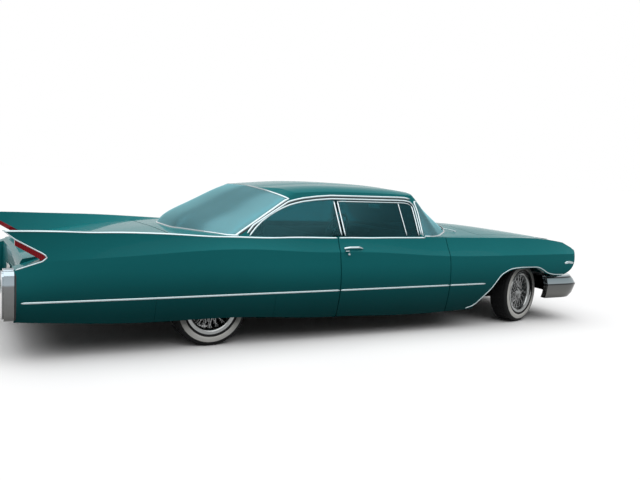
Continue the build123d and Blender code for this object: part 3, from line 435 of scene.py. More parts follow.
def tidy(obj, angle):  # welds doubles, turns faces outwards, softens curves
    bm = bmesh.new()
    bm.from_mesh(obj.data)
    bmesh.ops.remove_doubles(bm, verts=bm.verts[:], dist=1e-6)
    bmesh.ops.dissolve_degenerate(bm, edges=bm.edges[:], dist=1e-7)
    bmesh.ops.recalc_face_normals(bm, faces=bm.faces[:])
    for f in bm.faces:
        f.smooth = True
    bm.to_mesh(obj.data)
    bm.free()
    obj.data.set_sharp_from_angle(angle=radians(angle))


def piece(shape, name, body, *finishes, slot=None, angle=38.0):
    obj = shape.object(name, *finishes, angle=angle)
    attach(obj, body)
    return obj


def smoothLine(points, steps=8):  # Catmull-Rom curve through points
    points = [Vector(p) for p in points]
    ends = [2 * points[0] - points[1], *points, 2 * points[-1] - points[-2]]
    line = []
    for n in range(1, len(ends) - 2):
        a, b, c, d = ends[n - 1:n + 3]
        for k in range(steps):
            t = k / steps
            line.append(0.5 * (2 * b + (c - a) * t + (2 * a - 5 * b + 4 * c - d) * t ** 2
                               + (3 * b - a - 3 * c + d) * t ** 3))
    return [*line, points[-1]]


# Geometry Nodes trees, each made once and run on many pieces

def nodeTree(name, inputs, build):
    made = bpy.data.node_groups.new(name, "GeometryNodeTree")
    made.is_modifier = True
    made.interface.new_socket("Geometry", in_out="INPUT", socket_type="NodeSocketGeometry")
    for label, kind, value in inputs:
        socket = made.interface.new_socket(label, in_out="INPUT", socket_type="NodeSocket" + kind)
        if value is not None:
            socket.default_value = value
    made.interface.new_socket("Geometry", in_out="OUTPUT", socket_type="NodeSocketGeometry")
    g = Graph(made)
    source = g.node("NodeGroupInput")
    result = build(g, {s.name: Port(g, s) for s in source.outputs if s.name})
    whole = g.port("GeometryNodeRealizeInstances", None, {"Geometry": result})
    dressed = g.port("GeometryNodeSetMaterial", None, {
        "Geometry": whole, "Material": Port(g, source.outputs["Material"])})
    end = g.node("NodeGroupOutput")
    made.links.new(dressed.socket, end.inputs[0])
    return made


def ringOf(g, given):  # copies of the mesh set round its Z axis
    line = g.port("GeometryNodeMeshLine", {"mode": "OFFSET"}, {"Count": given["Count"], "Offset": (0, 0, 0)})
    index = g.port("GeometryNodeInputIndex")
    turn = g.vector(0.0, 0.0, (index / given["Count"]) * (2 * pi) + given["Start"])
    return g.port("GeometryNodeInstanceOnPoints", None, {
        "Points": line, "Instance": given["Geometry"], "Rotation": turn})


def rowsOf(g, given):  # copies of the mesh on an upright grid in Y and Z
    sheet = g.port("GeometryNodeMeshGrid", None, {
        "Size X": given["Width"], "Size Y": given["Height"],
        "Vertices X": given["Across"], "Vertices Y": given["Up"]})
    upright = g.port("GeometryNodeTransform", None, {
        "Geometry": sheet, "Rotation": (pi / 2, 0, pi / 2), "Translation": given["Place"]})
    return g.port("GeometryNodeInstanceOnPoints", None, {"Points": upright, "Instance": given["Geometry"]})


def brightStrip(g, given):  # half-round trim along lines that know which way is out
    curve = g.port("GeometryNodeMeshToCurve", None, {"Mesh": given["Geometry"]})
    even = g.port("GeometryNodeResampleCurve", {"mode": "LENGTH"}, {"Curve": curve, "Length": given["Step"]})
    outward = g.port("GeometryNodeInputNamedAttribute", {"data_type": "FLOAT_VECTOR"}, {"Name": "outward"})
    facing = g.port("GeometryNodeSetCurveNormal", {"mode": "FREE"}, {"Curve": even, "Normal": outward})
    broad = g.port("GeometryNodeInputNamedAttribute", {"data_type": "FLOAT"}, {"Name": "broad"})
    spline = g.node("GeometryNodeSplineParameter")
    whole = g.port("GeometryNodeSplineLength")
    run = Port(g, spline.outputs["Length"])
    near = run.maths("MINIMUM", whole - run)
    taper = ((near + given["Taper"] * 0.35) / given["Taper"]).maths("MINIMUM", 1.0)
    size = broad * taper
    sized = g.port("GeometryNodeSetCurveRadius", None, {"Curve": facing, "Radius": size})
    ring = g.port("GeometryNodeCurvePrimitiveCircle", {"mode": "RADIUS"}, {"Resolution": 12, "Radius": 0.5})
    oval = g.port("GeometryNodeTransform", None, {"Geometry": ring, "Scale": given["Section"]})
    swept = g.node("GeometryNodeCurveToMesh", None, {
        "Curve": sized, "Profile Curve": oval, "Fill Caps": True})
    if "Scale" in swept.inputs:
        g.tree.links.new(size.socket, swept.inputs["Scale"])
    return Port(g, swept.outputs[0])


ringTree = nodeTree("ringOf", [
    ("Count", "Int", 12), ("Start", "Float", 0.0), ("Material", "Material", None)], ringOf)
rowsTree = nodeTree("rowsOf", [
    ("Width", "Float", 1.0), ("Height", "Float", 1.0), ("Across", "Int", 8), ("Up", "Int", 4),
    ("Place", "Vector", (0, 0, 0)), ("Material", "Material", None)], rowsOf)
stripTree = nodeTree("brightStrip", [
    ("Step", "Float", 0.02), ("Taper", "Float", 0.03), ("Section", "Vector", (0.5, 1.0, 1.0)),
    ("Material", "Material", None)], brightStrip)


def grown(obj, tree, **values):  # runs a tree on the mesh and keeps what it makes
    modifier = obj.modifiers.new(tree.name, "NODES")
    modifier.node_group = tree
    for item in tree.interface.items_tree:
        if item.item_type == "SOCKET" and item.in_out == "INPUT" and item.name in values:
            modifier[item.identifier] = values[item.name]
    obj.update_tag()
    settled = obj.evaluated_get(bpy.context.evaluated_depsgraph_get())
    mesh = bpy.data.meshes.new_from_object(settled)
    obj.modifiers.clear()
    obj.data = mesh
    tidy(obj, 40.0)


def ring(shape, name, finish, count):  # one mesh of copies round Z, as a Shape again
    obj = shape.object(name, finish)
    grown(obj, ringTree, Count=count, Material=finish.material)
    made = Shape()
    made.points = [v.co.copy() for v in obj.data.vertices]
    made.faces = [list(p.vertices) for p in obj.data.polygons]
    made.kinds = [0] * len(made.faces)
    bpy.data.objects.remove(obj)
    return made


# points on the panels

surfaces = {}


def surface(names):
    if names not in surfaces:
        points, faces = [], []
        for name in names:
            start, me = len(points), nodes[name].data
            points += [v.co.copy() for v in me.vertices]
            faces += [[start + n for n in p.vertices] for p in me.polygons]
        surfaces[names] = BVHTree.FromPolygons(points, faces)
    return surfaces[names]


def touch(names, start, direction):
    direction = Vector(direction).normalized()
    place, normal = surface(names).ray_cast(Vector(start), direction)[:2]
    if place is None:
        return None
    return place, (-normal if normal.dot(direction) > 0 else normal)


beyond = {"side": 2.0, "top": 3.0}  # where the rays start, well outside the car


def onSide(names, x, z, side):
    return touch(names, (x, beyond["side"] * side, z), (0, -side, 0))


def onTop(names, x, y):
    return touch(names, (x, y, beyond["top"]), (0, 0, -1))


brightwork = {}  # (kind, body): lines of (point, outward, width)


def trim(body, hits, width, lift=0.0, kind="brightwork"):
    hits = [h for h in hits if h]
    line = [(p + n.normalized() * lift, n.normalized(), width) for p, n in hits]
    if len(line) > 1:
        brightwork.setdefault((kind, body), []).append(line)


def trimSide(body, names, line, side, width, lift=0.0, kind="brightwork"):
    trim(body, [onSide(names, x, z, side) for x, z in line], width, lift, kind)


def follow(points, step):  # points evenly spaced along straight pieces
    line = []
    for (x0, z0), (x1, z1) in zip(points, points[1:]):
        count = max(2, ceil(hypot(x1 - x0, z1 - z0) / step) + 1)
        line += [(x0 + (x1 - x0) * n / (count - 1), z0 + (z1 - z0) * n / (count - 1)) for n in range(count)]
    return [p for n, p in enumerate(line) if n == 0 or p != line[n - 1]]


# bright trim of the body

sideNames = ("quarter_panel_left", "quarter_panel_right", "door_left", "door_right", "front_wing_left",
             "front_wing_right", "cowl", "roof", "rear_deck", "rear_wheel_covers")
seams = {"doorRear": -0.1995, "doorFront": 0.9865, "half": 0.005}


def crest(x, side):  # highest line of the body side at this place along it
    look = {"inner": 0.86, "step": 0.004, "count": 32, "flat": 0.006, "lean": 0.9}
    panels = ("quarter_panel_left", "quarter_panel_right", "door_left", "door_right")
    hits = [onTop(panels, x, side * (look["inner"] + look["step"] * n)) for n in range(look["count"])]
    hits = [h for h in hits if h]
    best = max(h[0].z for h in hits)
    edge = [h for h in hits if h[0].z > best - look["flat"]][-1]
    return edge[0], Vector((0, side, look["lean"])).normalized()


def shoulderTrim():
    look = {"width": 0.0145, "rear": -2.846, "front": 0.745, "fall": 0.004, "passes": 8,
            "behind": 67, "ahead": 25}  # points behind and ahead of the door's rear seam
    first, last = seams["doorRear"] - seams["half"], seams["doorRear"] + seams["half"]
    places = between(look["rear"], first, look["behind"]) + between(last, look["front"], look["ahead"])
    for side, hand in hands.items():
        ridge = [crest(x, side) for x in places]
        for n in range(look["passes"]):  # evens out the steps of the search
            ends = [ridge[0], *ridge, ridge[-1]]
            ridge = [(Vector((v[0].x, *((u[0] + 2 * v[0] + w[0]) / 4).yz)), v[1])
                     for u, v, w in zip(ends, ends[1:], ends[2:])]
        line = [(p - Vector((0, 0, look["fall"])), n) for p, n in ridge]
        trim("body", line[:look["behind"]], look["width"])
        trim("door_" + hand, line[look["behind"]:], look["width"])


def lowerTrim():
    look = {"width": 0.0145, "z": 0.444, "rear": -2.735, "front": 1.42, "points": 30}
    for side, hand in hands.items():
        spans = [("body", look["rear"], seams["doorRear"] - seams["half"]),
                 ("door_" + hand, seams["doorRear"] + seams["half"], seams["doorFront"] - seams["half"]),
                 ("body", seams["doorFront"] + seams["half"], look["front"])]
        for body, a, b in spans:
            line = [(x, look["z"]) for x in between(a, b, look["points"])]
            trimSide(body, sideNames, line, side, look["width"])


def archTrim():
    look = {"width": 0.009, "grow": 0.006}
    line = [(1.236, 0.196), (1.3335, 0.229), (1.43, 0.315), (1.5085, 0.389), (1.6065, 0.507), (1.68, 0.549),
            (1.7495, 0.574), (1.8805, 0.585), (2.0, 0.585), (2.1065, 0.581), (2.18, 0.553), (2.2415, 0.521),
            (2.3365, 0.502), (2.45, 0.498), (2.56, 0.498)]
    line = smoothLine([(x, 0, z + look["grow"]) for x, z in line], 6)
    for side in hands:
        hits = [onSide(("front_wing_left", "front_wing_right"), p.x, p.z, side) for p in line]
        trim("body", [(h[0], Vector((h[1].x, h[1].y, 0.0))) for h in hits if h], look["width"])


# outline of the side glass over the body, from its rear corner forward
glassLine = [(-0.9905, 0.9), (-0.93, 0.963), (-0.8685, 1.014), (-0.8, 1.057), (-0.7355, 1.092),
             (-0.665, 1.124), (-0.5955, 1.15), (-0.5255, 1.168), (-0.4555, 1.182), (-0.32, 1.199),
             (-0.1755, 1.21), (0.1, 1.21), (0.35, 1.21), (0.5265, 1.21), (0.6, 1.2085), (0.6545, 1.2),
             (0.682, 1.18), (0.6945, 1.15), (0.704, 1.06), (0.713, 0.96), (0.718, 0.905)]


def outlined(points, grow):  # the same line moved out to its left by this much
    made = []
    for n, (x, z) in enumerate(points):
        x0, z0 = points[max(n - 1, 0)]
        x1, z1 = points[min(n + 1, len(points) - 1)]
        d = hypot(x1 - x0, z1 - z0)
        made.append((x - (z1 - z0) / d * grow, z + (x1 - x0) / d * grow))
    return made


def windowTrim():  # frame, rail and a black strip of painted shade in the gap between them
    look = {"frame": 0.014, "rail": 0.015, "joint": 0.012, "frameOut": 0.007, "railOut": 0.034,
            "jointOut": 0.0205, "sunk": -0.0015, "railEnd": 0.7, "jointEnd": 0.68}
    shell = ("roof", "cowl", "quarter_panel_left", "quarter_panel_right")
    rail = [p for p in outlined(glassLine, look["railOut"]) if p[0] < look["railEnd"]]
    joint = [p for p in outlined(glassLine, look["jointOut"]) if p[0] < look["jointEnd"]]
    corner = follow([(-1.112, 0.895), (-0.606, 1.193)], 0.03)
    for side in hands:
        trimSide("body", shell, outlined(glassLine, look["frameOut"]), side, look["frame"])
        trimSide("body", shell, rail, side, look["rail"], 0.002)
        # the joint lines are black strips of painted shade, also at the pillar corner
        trimSide("body", shell, joint, side, look["joint"], look["sunk"], "gasket")
        trimSide("body", ("roof",), corner, side, look["joint"], look["sunk"], "gasket")


def pillarTrim():  # edges of the door glass, vent pane, quarter glass
    look = {"width": 0.015, "thin": 0.009, "vent": 0.0108}
    edges = [  # points, spacing, width, lift
        ([(-0.088, 0.9), (-0.1175, 1.196)], 0.03, look["width"], 0.0),
        ([(-0.1175, 1.196), (0.52, 1.196), (0.6, 1.194), (0.648, 1.186), (0.672, 1.168)], 0.05,
         look["thin"], 0.0),
        ([(0.672, 1.168), (0.681, 1.148), (0.693, 1.04), (0.703, 0.9)], 0.03, look["width"], 0.0),
        ([(0.528, 1.192), (0.566, 0.9)], 0.03, look["vent"], 0.001),
    ]
    quarter = follow([(-0.125, 0.905), (-0.1535, 1.196)], 0.03)
    for side, hand in hands.items():
        for points, step, width, lift in edges:
            trimSide("door_" + hand, ("door_glass_" + hand,), follow(points, step), side, width, lift)
        trimSide("body", ("quarter_glass",), quarter, side, look["width"])


def baseLine(glass, deck, middle, ahead, count):  # where a curved screen meets the body round it
    look = {"sweep": 1.02, "start": 0.93, "least": 0.885, "gap": 0.004, "outside": 0.012, "above": 0.005,
            "tries": 8, "lean": (0.6, 0.75)}
    hits, (level, rise) = [], look["lean"]
    for n in range(count):
        a = pi * (n / (count - 1) - 0.5) * look["sweep"]
        out = Vector((ahead * cos(a), sin(a), 0))
        z, hit = look["start"], None
        for k in range(look["tries"]):  # settles on the height of the body just outside
            got = touch(glass, Vector((middle, 0, z)) + out * 3, -out)
            below = got and onTop(deck, *(got[0] + out * look["outside"]).xy)
            if not below:
                break
            hit, z = got, max(below[0].z + look["above"], look["least"])
        if hit:
            hits.append((hit[0] + out * look["gap"], Vector((out.x * level, out.y * level, rise))))
    return hits


def screenTrim():
    look = {"width": 0.018, "base": 0.017, "points": 61}
    shell = ("roof", "windshield", "rear_window")
    frontDeck = ("cowl", "hood", "front_wing_left", "front_wing_right", "door_left", "door_right")
    rearDeck = ("rear_deck", "quarter_panel_left", "quarter_panel_right", "trunk_lid")
    screens = (("windshield", frontDeck, 0.745, 1), ("rear_window", rearDeck, -1.12, -1))
    for glass, deck, middle, ahead in screens:
        trim("body", baseLine((glass,), deck, middle, ahead, look["points"]), look["base"])
    edges = (
        [(0.7455, 0.895), (0.7335, 1.1), (0.7245, 1.147), (0.7085, 1.205), (0.8, 1.2215), (0.9265, 1.2445),
         (1.0, 1.252)],
        [(-1.1385, 0.895), (-0.6265, 1.197), (-0.5965, 1.207), (-0.6865, 1.252), (-0.7955, 1.3055)],
    )
    for edge in edges:
        hits = []  # up one side, across the header and down the other
        for side in hands:
            found = [onSide(shell, x, z, side) for x, z in follow(edge, 0.025)]
            found = [h for h in found if h and abs(h[0].y) > 0.02]
            hits += found[::-side]
        trim("body", hits, look["width"])


def tailTrim():  # round the notch under each fin
    look = {"width": 0.009, "ahead": 0.006, "down": 0.001}
    notch = [(-2.855, 0.953), (-2.7735, 0.888), (-2.5855, 0.784), (-2.5705, 0.763), (-2.6005, 0.737),
             (-2.779, 0.679)]
    line = [(x + look["ahead"], z - look["down"]) for x, z in follow(notch, 0.02)]
    for side in hands:
        trimSide("body", sideNames, line, side, look["width"])


def podShadeStrips():  # black strip of painted shade in the gap between tail pod and panel
    look = {"x": -2.7715, "low": 0.262, "high": 0.655, "width": 0.013, "sunk": -0.001}
    line = [(look["x"], z) for z in between(look["low"], look["high"], 24)]
    for side in hands:
        trimSide("body", sideNames, line, side, look["width"], look["sunk"], "gasket")


def handles():
    look = {"from": -0.155, "to": 0.025, "z": 0.8, "stand": 0.02, "steps": 12, "lock": (-0.118, 0.752)}
    last = look["steps"]
    for side, hand in hands.items():
        grip = []
        for n, x in enumerate(between(look["from"], look["to"], last + 1)):
            p, normal = onSide(sideNames, x, look["z"], side)
            grip.append(p + normal * (look["stand"] * min(1, 4 * n / last, 5 * (last - n) / last) + 0.003))
        shape = Shape().bar(grip, 0.0095, sides=12, flat=0.75)
        p, normal = onSide(sideNames, *look["lock"], side)
        shape.lathe([(-0.004, 0.0), (-0.004, 0.012), (0.006, 0.012), (0.01, 0.009), (0.0105, 0.0)], p, normal)
        shape.box((-0.158, p.y - 0.004, 0.778), (-0.12, p.y + 0.012 * side, 0.786), bevel=0.0015)
        piece(shape, "doorHandle_" + hand, "door_" + hand, chrome, slot="chrome")


def noseTrim():  # short bar on the wing's side, spear on its top
    look = {"bar": (2.49, 2.622), "z": 0.628, "bow": 0.01, "barWidth": 0.026,
            "spear": (2.2, 2.4), "y": 0.8, "lift": 0.006, "spearWidth": 0.014}
    for side in hands:
        bar = [(x, look["z"] - look["bow"] * abs(n - 3) / 3) for n, x in enumerate(between(*look["bar"], 7))]
        trimSide("body", sideNames, bar, side, look["barWidth"])
        spear = [onTop(sideNames, x, side * look["y"]) for x in between(*look["spear"], 9)]
        trim("body", [(h[0] + Vector((0, 0, look["lift"])), h[1]) for h in spear if h], look["spearWidth"])


def layTrim():
    # shade strips are black strips of painted shade in the gaps
    finishes = {"brightwork": (chrome, "chrome"), "gasket": (black, "dark_metal")}
    for (kind, body), lines in brightwork.items():
        me = bpy.data.meshes.new(kind + "_" + body)
        points, edges, outward, broad = [], [], [], []
        for line in lines:
            edges += [(len(points) + n, len(points) + n + 1) for n in range(len(line) - 1)]
            points += [tuple(p) for p, n, w in line]
            outward += [c for p, n, w in line for c in n]
            broad += [w for p, n, w in line]
        me.from_pydata(points, edges, [])
        me.attributes.new("outward", "FLOAT_VECTOR", "POINT").data.foreach_set("vector", outward)
        me.attributes.new("broad", "FLOAT", "POINT").data.foreach_set("value", broad)
        obj = placed(kind + "_" + body, me)
        finish, slot = finishes[kind]
        grown(obj, stripTree, Material=finish.material)
        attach(obj, body)


shoulderTrim()
lowerTrim()
archTrim()
windowTrim()
pillarTrim()
screenTrim()
tailTrim()
noseTrim()
podShadeStrips()
handles()
layTrim()
print("trim laid:", {body: len(lines) for body, lines in brightwork.items()})


# wheels: each is built round Z with its outer face up, then set in place

wheelSizes = {"treads": 66, "spokes": 18, "fins": 48, "around": 72}


def standing(corner):  # from a wheel built round Z to its place on the car
    joint, side = joints["wheel_" + corner + "_spin"], 1 if corner.endswith("left") else -1
    outward = Vector(joint["axis"]).normalized() * side
    up = Vector((0, 0, 1))
    ahead = up.cross(outward).normalized()
    turn = Matrix((ahead, outward.cross(ahead), outward)).transposed().to_4x4()
    return Matrix.Translation(joint["pos_m"]) @ turn


def tyreShape():  # half a section, once outwards and once inwards
    wall = [(0.0845, 0.1935), (0.0865, 0.2125), (0.0915, 0.2195), (0.0968, 0.228), (0.0978, 0.232)]
    band = [(0.0978, 0.232), (0.0998, 0.235), (0.1, 0.248), (0.099, 0.265), (0.0966, 0.2745)]
    shoulder = [(0.0966, 0.2745), (0.0955, 0.2752), (0.094, 0.282), (0.091, 0.2895), (0.085, 0.2975)]
    tread = [(0.085, 0.2975), (0.078, 0.3012), (0.04, 0.3032), (0.0, 0.3038)]
    outer, shape = [wall, band, shoulder, tread], Shape()
    for part in outer:
        shape.lathe(part, kind=1 if part is band else 0, steps=wheelSizes["around"])
    for part in outer:
        shape.lathe([(-t, r) for t, r in reversed(part)], steps=wheelSizes["around"])
    return shape.lathe([(-0.0845, 0.1935), (0.0845, 0.1935)], steps=wheelSizes["around"])


def treadBlocks():
    block = Shape()
    rows = [(-0.0705, 0.0145, 0.01), (-0.044, 0.019, 0.0), (-0.015, 0.0225, 0.01), (0.015, 0.0225, 0.0),
            (0.044, 0.019, 0.01), (0.0705, 0.0145, 0.0)]
    look = {"half": 0.0105, "taper": -0.0012, "skew": 0.004, "edge": 0.06,
            "outer": (0.2985, 0.3052), "inner": (0.301, 0.3078)}  # radii of foot and top, per row
    half, corners = look["half"], ((-1, -1), (1, -1), (1, 1), (-1, 1))
    for t, wide, shift in rows:  # place across the tread, width, shift round it
        low, high = look["outer"] if abs(t) > look["edge"] else look["inner"]
        skew = look["skew"] if t > 0 else -look["skew"]
        rings = []
        for r, grow in ((low, 0.0), (high, look["taper"])):
            a, b = half + grow, wide / 2 + grow
            rings.append([(r, shift + p * a + q * skew, t + q * b) for p, q in corners])
        block.loft(rings)
    return ring(block, "treadBlocks", rubber, wheelSizes["treads"])


def rimShape():
    shape = Shape()
    shape.lathe([
        (0.08, 0.2), (0.0865, 0.2128), (0.0905, 0.2145), (0.0935, 0.2125), (0.0938, 0.208), (0.0925, 0.2),
        (0.0895, 0.19), (0.085, 0.181), (0.0785, 0.173), (0.07, 0.169), (0.056, 0.1672), (0.04, 0.166),
        (-0.04, 0.166), (-0.064, 0.178), (-0.082, 0.2), (-0.088, 0.212), (-0.084, 0.214),
        (-0.08, 0.1935), (0.078, 0.1925), (0.08, 0.2),
    ], steps=wheelSizes["around"])
    shape.lathe([
        (-0.05, 0.0), (-0.05, 0.05), (-0.02, 0.054), (-0.012, 0.05), (-0.006, 0.038), (0.048, 0.036),
        (0.056, 0.044), (0.064, 0.045), (0.068, 0.04), (0.076, 0.033), (0.085, 0.027), (0.09, 0.018),
        (0.092, 0.0),
    ], steps=40)
    look = {"ears": 3, "start": 0.3, "rings": (
        (0.02, 0.016, 0.08, 0.014), (0.045, 0.013, 0.083, 0.01), (0.062, 0.009, 0.087, 0.007))}
    ear = Shape().loft([[(r, wide * cos(a), t + thick / 2 * sin(a)) for a in turns(10)]
                        for r, wide, t, thick in look["rings"]])
    for a in turns(look["ears"]):  # of the centre nut
        shape.join(ear, Matrix.Rotation(a + look["start"], 4, "Z"))
    return shape


def wireSpokes():
    one = Shape()
    families = [(0.06, 0.043, 0.052, 0.1675, 0.62), (0.06, 0.043, 0.052, 0.1675, -0.62),
                (-0.016, 0.052, 0.015, 0.1665, 0.45), (-0.016, 0.052, 0.015, 0.1665, -0.45)]
    look = {"apart": 0.09, "thick": 0.0024, "nipple": 0.0042, "nippleLong": 0.01}
    for n, (t0, r0, t1, r1, lead) in enumerate(families):  # height and radius at hub and rim, lead round
        a, b = n * look["apart"], n * look["apart"] + lead
        one.bar([(r0 * cos(a), r0 * sin(a), t0), (r1 * cos(b), r1 * sin(b), t1)], look["thick"], sides=6)
        nipple = [(r * cos(b), r * sin(b), t1) for r in (r1 - look["nippleLong"], r1)]
        one.bar(nipple, look["nipple"], sides=6)
    return ring(one, "wireSpokes", chrome, wheelSizes["spokes"])


def drumShape():
    shape = Shape()
    shape.lathe([(-0.078, 0.133), (-0.042, 0.133), (-0.042, 0.046), (-0.033, 0.046), (-0.033, 0.138),
                 (-0.039, 0.146), (-0.078, 0.146)], steps=56, closed=True)
    fin = Shape().box((0.145, -0.002, -0.076), (0.151, 0.002, -0.042), bevel=0.0008, steps=1)
    return shape.join(ring(fin, "drumFins", castIron, wheelSizes["fins"]))


def wheels():
    tyre, tread, rim, spokes, drum = tyreShape(), treadBlocks(), rimShape(), wireSpokes(), drumShape()
    valve = Shape().bar([(0.18, 0.0, 0.078), (0.182, 0.0, 0.1)], 0.0035, sides=8)
    for corner in ("front_left", "front_right", "rear_left", "rear_right"):
        matrix, body = standing(corner), "wheel_" + corner
        carcass = Shape().join(tyre, matrix).join(tread, matrix)
        made = piece(carcass, "tyreVisual_" + corner, body, rubber, whiteRubber, slot="tyre")
        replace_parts(made, "tyre_" + corner)
        made = piece(Shape().join(rim, matrix).join(valve, matrix), "wireWheel_" + corner, body, rimChrome,
                     slot="chrome")
        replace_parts(made, "rim_" + corner)
        piece(Shape().join(spokes, matrix), "spokes_" + corner, body, satinChrome, slot="chrome")
        piece(Shape().join(drum, matrix), "brakeDrum_" + corner, body, castIron, slot="cast")


wheels()
print("wheels made")


# bumpers, lamps and grille

def smoothCopy(name, finish):  # the CAD node with its points welded
    obj = nodes[name].copy()
    obj.data = nodes[name].data.copy()
    obj.name = name + "Polished"
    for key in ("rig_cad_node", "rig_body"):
        if key in obj:
            del obj[key]
    obj.parent = None
    obj.matrix_world = Matrix.Identity(4)
    bpy.context.collection.objects.link(obj)
    bm = bmesh.new()
    bm.from_mesh(obj.data)
    bmesh.ops.remove_doubles(bm, verts=bm.verts[:], dist=2e-5)
    for f in bm.faces:
        f.smooth = True
    bm.to_mesh(obj.data)
    bm.free()
    if obj.data.has_custom_normals:
        obj.data.attributes.remove(obj.data.attributes["custom_normal"])
    obj.data.set_sharp_from_angle(angle=radians(40.0))
    shade(obj, finish)
    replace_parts(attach(obj, "body"), name)


def headlamps():
    look = {"x": 2.7065, "z": 0.612, "places": (0.632, 0.8)}
    bowl = [(-0.028, 0.0), (-0.025, 0.018), (-0.016, 0.042), (-0.004, 0.06), (0.001, 0.064),
            (-0.002, 0.066), (-0.0285, 0.03), (-0.03, 0.0)]
    bezel = [(-0.006, 0.0645), (0.003, 0.064), (0.0065, 0.0665), (0.007, 0.07), (0.004, 0.0716),
             (-0.006, 0.0716), (-0.006, 0.0645)]
    bulb = [(-0.027, 0.0), (-0.027, 0.008), (-0.018, 0.0085), (-0.014, 0.006), (-0.013, 0.0)]
    lens = [(0.001, 0.0), (0.0, 0.063), (0.0035, 0.0632), (0.006, 0.056), (0.0095, 0.04),
            (0.0115, 0.02), (0.012, 0.0)]
    shape, glass = Shape(), Shape()
    for place in [(look["x"], y * side, look["z"]) for side in hands for y in look["places"]]:
        shape.lathe(bowl, place, forward, 1).lathe(bezel, place, forward, 0, 56)
        shape.lathe(bulb, place, forward, 0, 20)
        glass.lathe(lens, place, forward)
    made = piece(shape, "headlampBowls", "body", chrome, mirrorFace, slot="chrome")
    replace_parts(made, "headlamps")
    piece(glass, "headlampLenses", "body", lampGlass, slot="lens_clear")


def grilleWork():
    look = {"bars": 61, "edge": 0.024, "frame": 0.018, "studs": (31, 5), "inset": 0.04}
    low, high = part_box("grille")
    bars, edge, frame = Shape(), look["edge"], look["frame"]
    for y in between(low.y + edge, high.y - edge, look["bars"]):
        bars.box((low.x + 0.012, y - 0.0016, low.z + frame), (high.x - 0.013, y + 0.0016, high.z - frame),
                 0, 0.0006, 1)
    piece(bars, "grilleBars", "body", satinChrome, slot="chrome")
    stud = Shape().lathe([(-0.004, 0.0), (-0.004, 0.0062), (0.0, 0.0068), (0.005, 0.0055), (0.0078, 0.0028),
                          (0.0085, 0.0)], (0, 0, 0), forward, 0, 12)
    obj = stud.object("grilleStuds", chrome)
    across, up = look["studs"]
    grown(obj, rowsTree, Width=high.y - low.y - 2 * look["inset"], Across=across, Up=up,
          Height=(high.z - low.z - look["inset"]) / (up + 1) * (up - 1),
          Place=(high.x - 0.012, 0.0, (low.z + high.z) / 2), Material=chrome.material)
    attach(obj, "body")


def tailWork():
    pod = {"x": -2.8455, "y": 0.895, "z": 0.56, "lines": (0.42, 0.45, 0.66), "lineX": -2.8565,
           "lineStart": 0.845, "lineLength": 0.1, "lineThick": 0.0022}
    plate = {"half": 0.15, "low": 0.44, "high": 0.592, "rim": 0.004, "edge": 0.0012}
    lamps, bright = Shape(), Shape()
    lamp = [(0.004, 0.0), (0.004, 0.04), (-0.002, 0.04), (-0.007, 0.028), (-0.009, 0.012), (-0.0095, 0.0)]
    collar = [(0.003, 0.04), (-0.006, 0.04), (-0.0095, 0.043), (-0.007, 0.0458), (0.003, 0.0458),
              (0.003, 0.04)]
    for side in hands:
        place = (pod["x"], pod["y"] * side, pod["z"])
        lamps.lathe(lamp, place, forward, 0, 40)
        bright.lathe(collar, place, forward, 0, 40)
        for z in pod["lines"]:
            places = [pod["lineStart"] + pod["lineLength"] * n / 6 for n in range(7)]
            bright.bar([(pod["lineX"], side * y, z) for y in places], pod["lineThick"])
    piece(lamps, "pod_lamps", "body", whiteLens, slot="lens_clear")
    piece(bright, "pod_trim", "body", chrome, slot="chrome")
    shape, back = Shape(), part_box("tail_panel")[0].x
    half, low, high, rim, edge = plate.values()
    shape.box((back - 0.0105, -half - 0.002, low), (back - 0.0075, half + 0.002, high), 0, edge)
    shape.box((back - 0.008, -half - 0.01, low - 0.008), (back + 0.001, half + 0.01, low + 0.007), 1, 0.002)
    for y in (-half, half):
        shape.box((back - 0.0125, y - rim, low), (back - 0.0065, y + rim, high), 1, edge)
    for z in (low, high):
        shape.box((back - 0.0125, -half - rim, z - rim), (back - 0.0065, half + rim, z + rim), 1, edge)
    piece(shape, "blank_plate", "body", plateEnamel, chrome)


smoothCopy("front_bumper", bumperChromePaintedLight)
smoothCopy("rear_bumper", podChromePaintedLight)
headlamps()
grilleWork()
tailWork()
print("lamps and bumpers made")


# soft seats: crowned pads with channels and piping

padForm = {"rows": 150, "around": 56, "power": 5.0, "welt": 0.37, "weltWidth": 0.007, "weltDepth": 0.006,
           "channelDepth": 0.009, "channelWidth": 0.0065, "ends": 14, "endRoot": 1 / 5, "inside": 0.93,
           "insidePower": 30, "narrow": 0.55, "covered": 0.36, "clothHalf": 0.465, "pipeHalf": 0.462,
           "pipe": 0.0045, "sunk": 0.001}


